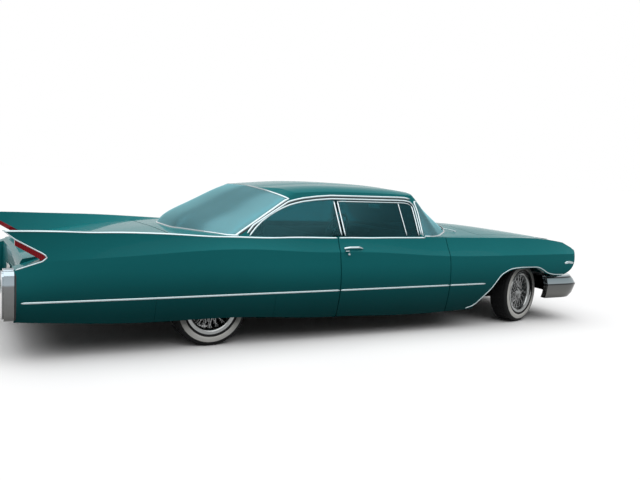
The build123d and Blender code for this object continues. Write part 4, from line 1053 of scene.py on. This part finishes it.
def padRings(size, crown, channels):
    wide, deep, thick = size  # across the car, front to back, thickness
    form, rings = padForm, []
    for v in between(-1, 1, form["rows"] + 1):
        end = max(0.0, 1 - abs(v) ** form["ends"]) ** form["endRoot"]
        inside = max(0.0, 1 - (abs(v) / form["inside"]) ** form["insidePower"])
        depth = form["narrow"] + (1 - form["narrow"]) * end
        rings.append([])
        for a in turns(form["around"]):
            c, s = cos(a), sin(a)
            reach = (abs(c) ** form["power"] + abs(s) ** form["power"]) ** (-1 / form["power"])
            x, z = c * reach * deep / 2 * depth, s * reach * thick / 2 * end
            lift = groove = 0.0
            if z > 0:
                lift = crown * (1 - (2 * x / deep) ** 2) * (1 - v ** 4)
            if z > 0 and channels:
                phase = (v * wide / 2 / channels) % 1.0
                across = min(phase, 1 - phase) * channels / form["channelWidth"]
                edge = (abs(x) - deep * form["welt"]) / form["weltWidth"]
                fade = max(0.0, 1 - (abs(x) / (deep * form["covered"])) ** 6)
                groove = form["channelDepth"] * exp(-across ** 2) * fade * inside
                groove += form["weltDepth"] * exp(-edge * edge) * inside
            rings[-1].append((x, v * wide / 2, z + lift - groove))
    return rings


def padShape(size, crown, channels, matrix, covered=padForm["covered"]):
    made = Shape().join(Shape().loft(padRings(size, crown, channels)), matrix)
    back = matrix.inverted()
    for n, face in enumerate(made.faces):  # the channelled part is in the second leather
        p = back @ (sum((made.points[k] for k in face), Vector()) / len(face))
        if p.z > 0 and abs(p.x) < size[1] * covered and abs(p.y) < size[0] * padForm["clothHalf"]:
            made.kinds[n] = 1
    return made


def leaning(x, z, lean):
    return Matrix.Translation((x, 0, z)) @ Matrix.Rotation(radians(lean), 4, "Y")


def piping(size, matrix, crown):
    wide, deep, thick = size
    x, flat = padForm["welt"], 1 - (2 * padForm["welt"]) ** 2
    half, top = padForm["pipeHalf"], thick / 2 - padForm["sunk"]
    path = [matrix @ Vector((deep * x, v * wide * half, top + crown * flat * (1 - v ** 4)))
            for v in between(-1, 1, 81)]
    return Shape().bar(path, padForm["pipe"])


def seats():
    look = {"channel": 0.086, "crown": {"cushion": 0.022, "back": 0.016}}
    benches = {  # sizes, then place along, height and lean
        "front_seat": {"half": 0.668, "cushion": ((1.376, 0.52, 0.15), (0.104, 0.452, -4.0)),
                       "back": ((1.376, 0.4, 0.13), (-0.182, 0.672, 99.0)), "base": (-0.19, 0.31)},
        "rear_seat": {"half": 0.618, "cushion": ((1.276, 0.44, 0.15), (-0.63, 0.45, -4.0)),
                      "back": ((1.276, 0.39, 0.125), (-0.86, 0.655, 100.0)), "base": (-0.88, -0.47)},
    }
    for name, bench in benches.items():
        for part, crown in look["crown"].items():
            size, place = bench[part]
            matrix, label = leaning(*place), name + "_" + part
            pad = padShape(size, crown, look["channel"], matrix)
            made = piece(pad, label, "body", paleHide, tealHide, slot="leather", angle=60.0)
            if part == "cushion":
                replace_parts(made, name)
            piece(piping(size, matrix, crown), label + "_piping", "body", tealHide, slot="leather")
        rear, front = bench["base"]
        base = Shape().box((rear, -bench["half"], 0.3065), (front, bench["half"], 0.392), 0, 0.012, 3)
        piece(base, name + "_base", "body", tealHide, slot="leather")
    arm = padShape((0.17, 0.31, 0.066), 0.008, 0.0, leaning(0.005, 0.604, -3.0), 0.0)
    made = piece(arm, "front_armrest", "body", paleHide, slot="leather", angle=60.0)


# doors, dash and the rest of the cabin

cards = {"rear": -0.135, "front": 0.835, "low": 0.35, "high": 0.845, "in": 0.0085, "band": (0.5, 0.7),
         "pleats": 14, "pleatDepth": 0.004, "pleatWidth": 0.08, "across": 60, "up": 30, "border": 3,
         "edge": 0.35, "behind": 0.001, "restRow": 18}


def doorSkin(side, x, z):  # how far out the door's inner face is here
    hit = touch(("door_" + hands[side],), (x, 0.2 * side, z), (0, side, 0))
    return hit[0].y * side if hit else 0.86


def banded(z):
    return cards["band"][0] < z < cards["band"][1]


def cardShape(side):  # the card, and how far out its face is at the armrest
    wide, tall, border, edge = (cards[key] for key in ("across", "up", "border", "edge"))
    xs, zs = between(cards["rear"], cards["front"], wide + 1), between(cards["low"], cards["high"], tall + 1)
    level = [[doorSkin(side, x, z) for z in zs] for x in xs]
    face, back = [], []
    for i, x in enumerate(xs):
        face.append([])
        back.append([(x, (level[i][j] - cards["behind"]) * side, z) for j, z in enumerate(zs)])
        for j, z in enumerate(zs):
            rim = min(i, wide - i, j * 1.3, (tall - j) * 1.3, border) / border
            wave = ((x * cards["pleats"]) % 1.0 - 0.5) / cards["pleatWidth"]
            pleat = cards["pleatDepth"] * exp(-wave ** 2) if banded(z) else 0.0
            face[i].append((x, (level[i][j] - (cards["in"] * (edge + (1 - edge) * rim) - pleat)) * side, z))
    card = Shape().slab(face, back)
    card.kinds = [int(banded(sum(card.points[k].z for k in f) / len(f))) for f in card.faces]
    return card, level[wide // 2][cards["restRow"]] - cards["in"]


def armrest(side, y):
    look = {"ends": (0.02, 0.44), "in": 0.03, "half": (0.034, 0.026), "z": 0.585}
    across, tall = look["half"]
    return Shape().loft([[(x, (y - look["in"] + across * cos(t) * s) * side, look["z"] + tall * sin(t) * s)
                          for t in turns(20)] for x, s in swelling(look["ends"], 25, 6, 0.12, 0.5)])


def doorFittings(side, y):  # rails, window winder and pull
    look = {"rails": (0.495, 0.705), "railEnds": (-0.12, 0.82), "rail": 0.004, "crank": 0.0055,
            "pull": ((0.1, 0.006), (0.16, 0.022), (0.2, 0.02)), "pullHeight": 0.748, "pullThick": 0.0065}
    bright, inward, ends = Shape(), (0, -side, 0), look["railEnds"]
    for z in look["rails"]:
        rail = [(x, (doorSkin(side, x, z) - cards["in"] - 0.001) * side, z) for x in between(*ends, 24)]
        bright.bar(rail, look["rail"])
    hub, knob = (0.52, (y - 0.004) * side, 0.64), (0.605, (y - 0.02) * side, 0.69)
    bright.lathe([(-0.004, 0.0), (-0.004, 0.02), (0.008, 0.018), (0.012, 0.01), (0.012, 0.0)],
                 hub, inward, steps=24)
    crank = [(0.52, (y - 0.018) * side, 0.64), (0.57, (y - 0.02) * side, 0.672), knob]
    bright.bar(crank, look["crank"], sides=10)
    bright.lathe([(0.0, 0.0), (0.0, 0.011), (0.026, 0.009), (0.028, 0.0)], knob, inward, steps=20)
    pull = [(x, (y - depth) * side, look["pullHeight"]) for x, depth in look["pull"]]
    return bright.bar(pull, look["pullThick"], sides=10, flat=0.7)


def doorCards():
    for side, hand in hands.items():
        card, y = cardShape(side)
        piece(card, "doorCard_" + hand, "door_" + hand, paleHide, tealHide, slot="leather")
        made = piece(armrest(side, y), "doorArmrest_" + hand, "door_" + hand, paleHide, slot="leather",
                     angle=60.0)
        piece(doorFittings(side, y), "doorFittings_" + hand, "door_" + hand, chrome, slot="chrome")


def dashFront(y, z):  # how far forward the dashboard's face is here
    hit = touch(("dashboard",), (0.0, y, z), forward)
    return hit[0].x if hit else 0.8


def dashHood():
    look = {"y": (0.155, 0.605), "x": 0.855, "taper": 0.06, "half": (0.075, 0.04), "z": 0.842}
    deep, tall = look["half"]
    hood = [[(look["x"] - look["taper"] * s + deep * cos(t), y, look["z"] + tall * s * sin(t))
             for t in turns(24)] for y, s in swelling(look["y"], 25, 5, 0.0, 0.5)]
    piece(Shape().loft(hood), "dashHood", "body", padSkin, slot="dash")


def dashDials(bright):
    look = {"dials": ((0.27, 0.04), (0.38, 0.052), (0.49, 0.04)), "height": 0.772, "tilt": 0.12,
            "marks": 21, "firstMark": -130, "markPitch": 13}
    dials, axis, up = Shape(), (-1, 0, look["tilt"]), Vector((look["tilt"], 0, 1)).normalized()
    for y, r in look["dials"]:
        place = Vector((dashFront(y, look["height"]) - 0.0015, y, look["height"]))
        dials.lathe([(-0.004, 0.0), (-0.004, r), (0.004, r), (0.0042, 0.0)], place, axis, 0, 40)
        bright.lathe([(0.0, r), (0.008, r), (0.0105, r + 0.0035), (0.008, r + 0.0065), (0.0, r + 0.0065),
                      (0.0, r)], place, axis, 0, 40)
        lines = [(radians(look["firstMark"] + look["markPitch"] * k), 0.8, 0.93 if k % 2 else 0.96,
                  0.005, 0.0008, 4) for k in range(look["marks"])]
        lines.append((-1.9, -0.15, 0.74, 0.0062, 0.0011, 6))  # the needle
        for a, near, far, proud, thick, around in lines:
            out = Vector((0, sin(a), 0)) + up * cos(a)
            base = place + Vector(axis).normalized() * proud
            dials.bar([base + out * r * near, base + out * r * far], thick, 1, around)
    piece(dials, "dashDials", "body", dial, marks, slot="dash")


def dashRadio():
    look = {"half": 0.105, "low": 0.745, "high": 0.798, "marks": 19, "keys": 5, "knobs": (-0.085, 0.085)}
    radio, x = Shape(), dashFront(0.0, 0.77) - 0.006
    radio.box((x, -look["half"], look["low"]), (x + 0.03, look["half"], look["high"]), 0, 0.003)
    for n in range(look["marks"]):
        y = -0.09 + n * 0.01
        radio.box((x - 0.002, y - 0.0016, 0.75), (x + 0.002, y + 0.0016, 0.771), 1, 0.0006, 1)
    knob = [(0.0, 0.0), (0.0, 0.012), (0.014, 0.0105), (0.016, 0.0)]
    for y in look["knobs"]:
        radio.lathe(knob, (x, y, 0.785), backward, 1, 20)
    for n in range(look["keys"]):
        y = -0.048 + 0.024 * n
        radio.box((x - 0.008, y - 0.009, 0.779), (x + 0.001, y + 0.009, 0.791), 1, 0.0016, 1)
    piece(radio, "dashRadio", "body", blackPlastic, chrome, slot="dash")


def dashWork():
    look = {"strips": ((-0.74, 0.1), (0.62, 0.74)), "stripHeights": (0.735, 0.805), "strip": 0.0045,
            "knobs": (-0.6, -0.18, 0.6), "knobHeight": 0.772}
    bright = Shape()
    for low, high in look["strips"]:
        for z in look["stripHeights"]:
            bright.bar([(dashFront(y, z) - 0.001, y, z) for y in between(low, high, 12)], look["strip"])
    dashHood()
    dashDials(bright)
    dashRadio()
    z, knob = look["knobHeight"], [(0.0, 0.0), (0.0, 0.009), (0.012, 0.011), (0.015, 0.0)]
    for y in look["knobs"]:  # of the air vents and the glove box
        bright.lathe(knob, (dashFront(y, z), y, z), backward, 0, 20)
    piece(bright, "dashBrightwork", "body", chrome, slot="chrome")


def steeringRim():  # built flat round Z
    look = {"radius": 0.194, "rise": 0.026, "grip": 0.0105, "wave": 0.0008, "waves": 36,
            "spokes": (0, pi, 1.5 * pi), "spokeHalf": 0.017, "waist": 0.006, "spokeThick": 0.0055,
            "spokeHeight": 0.022, "boss": 0.02, "short": 0.024}
    rim, r, grip, rows = Shape(), look["radius"], look["grip"], []
    for a in turns(96):
        out = Vector((cos(a), sin(a), 0))
        wave = look["wave"] * cos(a * look["waves"])  # finger grips on the inner side
        rows.append([out * (r + (grip + wave * (cos(b) < 0)) * cos(b))
                     + Vector((0, 0, look["rise"] + (grip + wave) * sin(b))) for b in turns(16)])
    rim.grid(rows, 0, around=True, along=True)
    for a in look["spokes"]:
        rings = []
        for k in range(9):
            d = look["boss"] + (r - look["short"]) * k / 8
            w, h = look["spokeHalf"] - look["waist"] * sin(pi * k / 8), look["spokeThick"]
            rings.append([(d * cos(a) - w * cos(b) * sin(a), d * sin(a) + w * cos(b) * cos(a),
                           look["spokeHeight"] + h * sin(b)) for b in turns(14)])
        rim.loft(rings)
    hub = [(0.004, 0.015), (0.004, 0.036), (0.02, 0.039), (0.032, 0.035), (0.0345, 0.0), (0.004, 0.015)]
    return rim.lathe(hub, steps=40)


def hornRing():
    look = {"radius": 0.118, "inner": 0.1, "thick": 0.0038, "stay": 0.0036}
    bright, r, near = Shape(), look["radius"], look["inner"]
    arc = [(r * cos(b), r * sin(b), 0.034 - 0.003 * abs(cos(b))) for b in between(pi, 2 * pi, 41)]
    bright.bar(arc, look["thick"], sides=10)
    for a in (pi, 1.5 * pi, 2 * pi):
        stay = [(r * cos(a), r * sin(a), 0.033), (near * cos(a), near * sin(a), 0.026)]
        bright.bar(stay, look["stay"])
    return bright.lathe([(0.0325, 0.0), (0.0325, 0.025), (0.037, 0.024), (0.04, 0.016), (0.041, 0.0)],
                        steps=40)


def steeringWheel():
    joint, hub = joints["steering_wheel_turn"], Vector(joints["steering_wheel_turn"]["pos_m"])
    up = Vector(joint["axis"]).normalized()
    up = -up if up.x > 0 else up  # towards the driver
    across = Vector((0, 1, 0))
    turn = Matrix((across, up.cross(across), up)).transposed().to_4x4()
    matrix = Matrix.Translation(hub) @ turn
    made = piece(Shape().join(steeringRim(), matrix), "steeringRim", "steering_wheel", wheelPlastic,
                 slot="steering")
    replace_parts(made, "steering_wheel")
    piece(Shape().join(hornRing(), matrix), "hornRing", "steering_wheel", chrome, slot="chrome")
    stalks = Shape()  # indicator and gear lever
    for thick, path in ((0.004, ((0.045, 0.03, 0.0), (0.04, 0.13, 0.03), (0.03, 0.17, 0.036))),
                        (0.0055, ((0.04, -0.03, 0.0), (0.03, -0.15, 0.05), (0.02, -0.18, 0.056)))):
        stalks.bar([hub - up * down + Vector((0, y, z)) for down, y, z in path], thick)
    piece(stalks, "columnStalks", "body", chrome, slot="chrome")


def underRoof(x, y):  # steps back from the screens until the roof is overhead
    look = {"step": 0.008, "tries": 60, "from": 1.02, "edge": 0.03, "else": 1.2}
    step = -look["step"] if x > 0 else look["step"]
    for n in range(look["tries"]):
        hit, past = [touch(("roof",), (place, y, look["from"]), upward) for place in (x, x - step * 3)]
        if hit and past:
            return x, min(hit[0].z, past[0].z + look["edge"])
        x += step
    return x, look["else"]


def roofLining():
    look = {"x": (-0.6, 0.82), "y": (-0.66, 0.66), "gap": 0.01, "thick": 0.006, "seams": 7,
            "seamDepth": 0.0035, "seamWidth": 0.05, "along": 40, "across": 32}
    rows = []
    for n, x in enumerate(between(*look["x"], look["along"] + 1)):
        phase = (n / look["along"] * look["seams"]) % 1.0 - 0.5
        seam = look["seamDepth"] * exp(-(phase / look["seamWidth"]) ** 2)
        spots = [(y, *underRoof(x, y)) for y in between(*look["y"], look["across"] + 1)]
        rows.append([(place, y, z - look["gap"] - seam) for y, place, z in spots])
    above = [[(x, y, z + look["thick"]) for x, y, z in row] for row in rows]
    piece(Shape().slab(rows, above), "roofLining", "body", roofCloth)


def cabinFittings():
    look = {"visors": ((-0.56, -0.12), (0.12, 0.56)), "pedals": ((0.44, 0.045), (0.27, 0.022)),
            "sill": (-0.14, 0.93), "sillEdge": 0.835, "ribs": 7, "pitch": 0.008, "ribHalf": 0.0022}
    shelf = Shape().box((-1.15, -0.6, 0.838), (-0.945, 0.6, 0.848), 0, 0.003)
    piece(shelf, "parcelShelf", "body", floorCarpet)
    mirror = Shape().box((0.735, -0.115, 1.098), (0.752, 0.115, 1.148), 0, 0.008, 3)
    mirror.box((0.7335, -0.108, 1.104), (0.7365, 0.108, 1.142), 1, 0.001, 1)
    mirror.bar([(0.75, 0, 1.135), (0.775, 0, 1.17), (0.8, 0, 1.195)], 0.005)
    piece(mirror, "rearMirror", "body", blackPlastic, mirrorFace)
    visors, pedals, sills = Shape(), Shape(), Shape()
    for near, far in look["visors"]:
        visors.box((0.66, near, 1.176), (0.8, far, 1.19), 0, 0.006, 3)
    piece(visors, "sunVisors", "body", roofCloth)
    for y, half in look["pedals"]:
        pedals.box((1.03, y - half, 0.4), (1.046, y + half, 0.455), 0, 0.004)
        pedals.bar([(1.045, y, 0.44), (1.075, y, 0.52), (1.07, y, 0.6)], 0.007)
    piece(pedals, "pedals", "body", rubber)
    rear, front = look["sill"]
    for y in [side * (look["sillEdge"] + look["pitch"] * n) for side in hands for n in range(look["ribs"])]:
        hit = onTop(("floor", "cowl", "quarter_panel_left", "quarter_panel_right"), 0.3, y)
        if hit and hit[0].z < 0.45:
            z, half = hit[0].z, look["ribHalf"]
            sills.box((rear, y - half, z - 0.001), (front, y + half, z + 0.003), 0, 0.001, 1)
    piece(sills, "sillPlates", "body", satinChrome, slot="chrome")


seats()
print("seats made")
doorCards()
dashWork()
steeringWheel()
roofLining()
cabinFittings()
print("cabin made")


# under the hood, in the trunk, wipers and exhausts

def bankDressing(side, top, enamel, bright, cast, dark):  # rocker cover, bolts, ports, leads, manifold
    look = {"bank": 0.165, "rocker": (1.72, 2.22), "coverHalf": (0.062, 0.042), "cylinders": (1.76, 2.18),
            "port": 0.022, "lead": 0.0045, "manifold": 0.028}
    y, (wide, tall) = look["bank"] * side, look["coverHalf"]
    enamel.loft([[(x, y + wide * s * cos(t), top - 0.004 + tall * s * max(sin(t), -0.2)) for t in turns(20)]
                 for x, s in swelling(look["rocker"], 17, 8, 0.25)])
    bolt = [(0.0, 0.0), (0.0, 0.008), (0.006, 0.008), (0.01, 0.005), (0.01, 0.0)]
    for n, x in enumerate(between(*look["cylinders"], 4)):
        bright.lathe(bolt, (x, y, top + 0.036), upward, 0, 12)
        port = [(x, 0.262 * side, 0.66), (x, 0.3 * side, 0.65), (x, 0.318 * side, 0.61)]
        cast.bar(port, look["port"], sides=12)
        lead = [(1.69, 0.05 * side, top + 0.03), (1.72 + 0.02 * n, 0.11 * side, top + 0.052),
                (x, 0.235 * side, top + 0.02), (x, 0.268 * side, 0.72)]
        dark.bar(smoothLine(lead, 6), look["lead"])
    manifold = [(1.72, 0.318 * side, 0.6), (2.0, 0.322 * side, 0.59), (2.22, 0.318 * side, 0.6)]
    cast.bar(manifold, look["manifold"], sides=14)


def airCleaner(top, bright):  # drum with its wing nut
    look = {"middle": 1.96, "stand": 0.022, "nut": 0.072}
    drum = [(0.0, 0.0), (0.0, 0.15), (0.01, 0.162), (0.036, 0.162), (0.046, 0.15), (0.05, 0.07), (0.054, 0.0)]
    bright.lathe(drum, (look["middle"], 0, top + look["stand"]), upward, 0, 56)
    nut = [(0.0, 0.0), (0.0, 0.012), (0.006, 0.014), (0.01, 0.006), (0.012, 0.0)]
    bright.lathe(nut, (look["middle"], 0, top + look["nut"]), upward, 0, 20)


def pulleys(front, cast, dark):  # and the belt round the first three
    look = {"pulleys": ((0.0, 0.56, 0.08), (0.15, 0.68, 0.045), (-0.15, 0.68, 0.045), (0.0, 0.4, 0.075)),
            "belted": 3, "groove": 0.012, "sunk": 0.006, "belt": 0.007}
    for y, z, r in look["pulleys"]:
        cast.lathe([(0.0, 0.0), (0.0, r), (0.006, r), (0.012, r - 0.01), (0.018, r), (0.024, r),
                    (0.024, 0.0)], (front, y, z), forward, 0, 40)
    belted, sunk = look["pulleys"][:look["belted"]], look["sunk"]
    for a, b in zip(belted, (*belted[1:], belted[0])):
        d = Vector((b[0] - a[0], b[1] - a[1], 0)).normalized()
        run = [(front + look["groove"], y - d.y * (r - sunk), z + d.x * (r - sunk)) for y, z, r in (a, b)]
        dark.bar(run, look["belt"])


def coolingFan(front):
    look = {"blades": 5, "ahead": 0.052, "z": 0.56, "near": 0.028, "long": 0.125, "half": (0.022, 0.016),
            "twist": 0.012, "thick": 0.0025}
    foot, wider = look["half"]
    blade = [[(look["near"] + look["long"] * k, (foot + wider * k) * cos(t),
               look["twist"] * cos(t) + look["thick"] * sin(t)) for t in turns(12)]
             for k in between(0, 1, 9)]
    fan = ring(Shape().loft(blade), "fanBlades", satinChrome, look["blades"])
    fan.lathe([(-0.012, 0.0), (-0.012, 0.03), (0.014, 0.03), (0.02, 0.02), (0.02, 0.0)], steps=28)
    place = Matrix.Translation((front + look["ahead"], 0, look["z"])) @ Matrix.Rotation(pi / 2, 4, "Y")
    piece(Shape().join(fan, place), "coolingFan", "body", satinChrome, slot="dark_metal")


def engineWork():
    look = {"hose": 0.021, "cap": 1.69, "valley": (1.7, 2.24), "valleyHalf": 0.085}
    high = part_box("engine")[1]
    front, top = high.x, high.z
    enamel, bright, cast, dark = Shape(), Shape(), Shape(), Shape()
    for side in hands:
        bankDressing(side, top, enamel, bright, cast, dark)
    (rear, ahead), half = look["valley"], look["valleyHalf"]
    cast.box((rear, -half, top - 0.004), (ahead, half, top + 0.02), 0, 0.01)
    airCleaner(top, bright)
    cap = [(0.0, 0.0), (0.0, 0.036), (0.03, 0.036), (0.044, 0.026), (0.046, 0.0)]  # of the distributor
    dark.lathe(cap, (look["cap"], 0, top - 0.002), upward, 0, 24)
    pulleys(front, cast, dark)
    coolingFan(front)
    hose = [(front - 0.03, 0.1, top + 0.01), (front + 0.03, 0.14, top + 0.012), (front + 0.1, 0.16, 0.765),
            (2.5, 0.16, 0.73)]
    dark.bar(smoothLine(hose), look["hose"], sides=14)
    piece(enamel, "rockerCovers", "body", engineEnamel, slot="cast")
    piece(cast, "manifolds", "body", castIron, slot="cast")
    piece(bright, "airCleaner", "body", chrome, slot="chrome")
    piece(dark, "hosesAndLeads", "body", blackPlastic, slot="dark_metal")


def radiatorTanks():
    low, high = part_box("radiator")
    tank = Shape().box((low.x - 0.004, low.y + 0.01, high.z - 0.006),
                       (high.x + 0.004, high.y - 0.01, high.z + 0.03), 0, 0.008)
    for y in (low.y, high.y):
        tank.box((low.x - 0.005, y - 0.012, low.z), (high.x + 0.005, y + 0.012, high.z))
    tank.lathe([(0.0, 0.0), (0.0, 0.02), (0.012, 0.024), (0.018, 0.022), (0.02, 0.0)],
               ((low.x + high.x) / 2, -0.12, high.z + 0.028), upward, 1, 24)
    piece(tank, "radiatorTanks", "body", black, chrome, slot="dark_metal")


def battery():
    look = {"caps": 6, "firstCap": 2.316, "capPitch": 0.026, "lid": 0.718, "posts": (2.325, 2.435)}
    case = Shape().box((2.3, -0.56, 0.56), (2.46, -0.42, 0.72), 0, 0.006)
    for n in range(look["caps"]):
        case.lathe([(0.0, 0.0), (0.0, 0.011), (0.008, 0.011), (0.01, 0.0)],
                   (look["firstCap"] + look["capPitch"] * n, -0.49, look["lid"]), upward, 0, 14)
    case.box((2.29, -0.575, 0.545), (2.47, -0.405, 0.563), 0, 0.004)
    for x in look["posts"]:
        case.lathe([(0.0, 0.0), (0.0, 0.008), (0.016, 0.007), (0.016, 0.0)], (x, -0.445, look["lid"]),
                   upward, 1, 14)
    piece(case, "battery", "body", blackPlastic, castIron, slot="dark_metal")


def wipers():
    look = {"pivots": ((1.31, -0.62), (1.42, 0.1)), "blade": 0.4, "stand": 0.01, "rise": 0.018}
    arms, blades = Shape(), Shape()
    for x, y in look["pivots"]:
        found = onTop(("cowl", "hood", "windshield"), x, y)[0]
        pivot, line = Vector((found.x, y, found.z)), []
        arms.lathe([(-0.01, 0.0), (-0.01, 0.012), (0.012, 0.011), (0.018, 0.0)], pivot, upward, 0, 18)
        for t in between(0, 1, 11):
            start = (4.0, y + look["blade"] * t, pivot.z + 0.02 + look["rise"] * t)
            got = touch(("windshield",), start, backward)
            if got:
                line.append(got[0] + got[1] * look["stand"])
        arms.bar([pivot + Vector((0, 0, 0.012)), line[2], line[6]], 0.0035)
        blades.bar([p - Vector((0.004, 0, 0)) for p in line], 0.0042)
        arms.bar([p + Vector((0.002, 0, 0.003)) for p in line[1:-1]], 0.0022, sides=6)
    piece(arms, "wiperArms", "body", chrome, slot="chrome")
    piece(blades, "wiperBlades", "body", rubber)


def trunkWork():
    look = {"x": (-2.62, -1.64), "y": (-0.6, 0.6), "gap": 0.006, "thick": 0.005, "rib": 0.001, "ribs": 300}
    rows = []
    for x in between(*look["x"], 25):
        rows.append([])
        for y in between(*look["y"], 41):
            hit = touch(("floor", "chassis_frame"), (x, y, 0.56), (0, 0, -1))
            rib = look["rib"] * sin(y * look["ribs"])
            rows[-1].append((x, y, (hit[0].z if hit else 0.33) + look["gap"] + rib))
    under = [[(x, y, z - look["thick"]) for x, y, z in row] for row in rows]
    piece(Shape().slab(rows, under), "trunkCarpet", "body", trunkMat)


def exhausts():
    look = {"y": 0.455, "pipe": 0.024, "tail": 0.022, "silencer": (-1.72, -2.16), "half": (0.085, 0.042),
            "z": 0.252}
    shape = Shape()
    for side in hands:
        y = look["y"] * side
        pipe = [(1.2, 0.3 * side, 0.262), (0.9, 0.42 * side, 0.252), (0.2, y, 0.248), (-0.7, y, 0.248),
                (-0.95, y, 0.245)]
        tail = [(-0.95, y, 0.245), (-1.6, y, 0.245), (-2.3, y, 0.25), (-2.76, y, 0.262)]
        shape.bar(smoothLine(pipe, 6), look["pipe"], sides=14)
        shape.bar(smoothLine(tail, 6), look["tail"], sides=14)
        wide, tall = look["half"]
        shape.loft([[(x, y + wide * s * cos(t), look["z"] + tall * s * sin(t)) for t in turns(24)]
                    for x, s in swelling(look["silencer"], 13, 10, 0.2)])
    piece(shape, "exhausts", "body", castIron, slot="dark_metal")


engineWork()
radiatorTanks()
battery()
wipers()
trunkWork()
exhausts()
print("engine bay, trunk and exhausts made")


# floor, light and camera

def seenRays(g):  # 1 for camera, glossy and transmission rays
    path = g.node("ShaderNodeLightPath")
    seen = Port(g, path.outputs["Is Camera Ray"]).maths("MAXIMUM", Port(g, path.outputs["Is Glossy Ray"]))
    return seen.maths("MAXIMUM", Port(g, path.outputs["Is Transmission Ray"]))


def paleFloor():
    sheet = {"size": 240.0, "seen": (0.9, 0.9, 0.9), "worn": (0.88, 0.88, 0.885),
             "bounce": (0.03, 0.03, 0.03)}
    me = bpy.data.meshes.new("paleFloor")
    h = sheet["size"] / 2
    me.from_pydata([(-h, -h, 0), (h, -h, 0), (h, h, 0), (-h, h, 0)], [], [(0, 1, 2, 3)])
    obj = placed("paleFloor", me)
    f = Finish("paleFloor", Roughness=0.9, Specular_IOR_Level=0.0)
    pale = f.ramp(f.noise(0.6, 3.0), [(0.35, sheet["worn"]), (0.65, sheet["seen"])])
    f.feed(Base_Color=f.mix(seenRays(f), sheet["bounce"], pale))
    shade(obj, f)


def studioWorld():
    sky = {"light": 0.22, "seen": 1.0}
    world = bpy.data.worlds.new("studio")
    bpy.context.scene.world = world
    world.use_nodes = True
    g = Graph(world.node_tree)
    back = next(n for n in world.node_tree.nodes if n.type == "BACKGROUND")
    strength = seenRays(g) * (sky["seen"] - sky["light"]) + sky["light"]
    back.inputs["Color"].default_value = (1, 1, 1, 1)
    world.node_tree.links.new(strength.socket, back.inputs["Strength"])


def wideSun(name, toward, power, spread):  # lights the whole floor evenly, from a broad patch of sky
    light = bpy.data.lights.new(name, "SUN")
    light.energy, light.angle = power, radians(spread)
    placed(name, light).rotation_euler = Vector(toward).to_track_quat("Z", "Y").to_euler()


def camera():
    view = {"place": (-3.201, -6.2075, 1.4516), "yaw": 0.4909, "pitch": -0.0965, "roll": 0.0449,
            "lens": 39.716}
    yaw, pitch, roll = view["yaw"], view["pitch"], view["roll"]
    ahead = Vector((sin(yaw) * cos(pitch), cos(yaw) * cos(pitch), sin(pitch)))
    right = Vector((cos(yaw), -sin(yaw), 0))
    up = right.cross(ahead)
    across = cos(roll) * right + sin(roll) * up
    over = -sin(roll) * right + cos(roll) * up
    data = bpy.data.cameras.new("camera")
    data.lens, data.sensor_width = view["lens"], 36.0
    data.clip_end = 500
    turn = Matrix((across, over, -ahead)).transposed().to_4x4()
    bpy.context.scene.camera = placed("camera", data)
    bpy.context.scene.camera.matrix_world = Matrix.Translation(view["place"]) @ turn


paleFloor()
studioWorld()
wideSun("overhead", (-0.1, -0.24, 1.0), 3.05, 100.0)
camera()
bpy.context.scene.view_settings.view_transform = "Standard"
print("stage made")
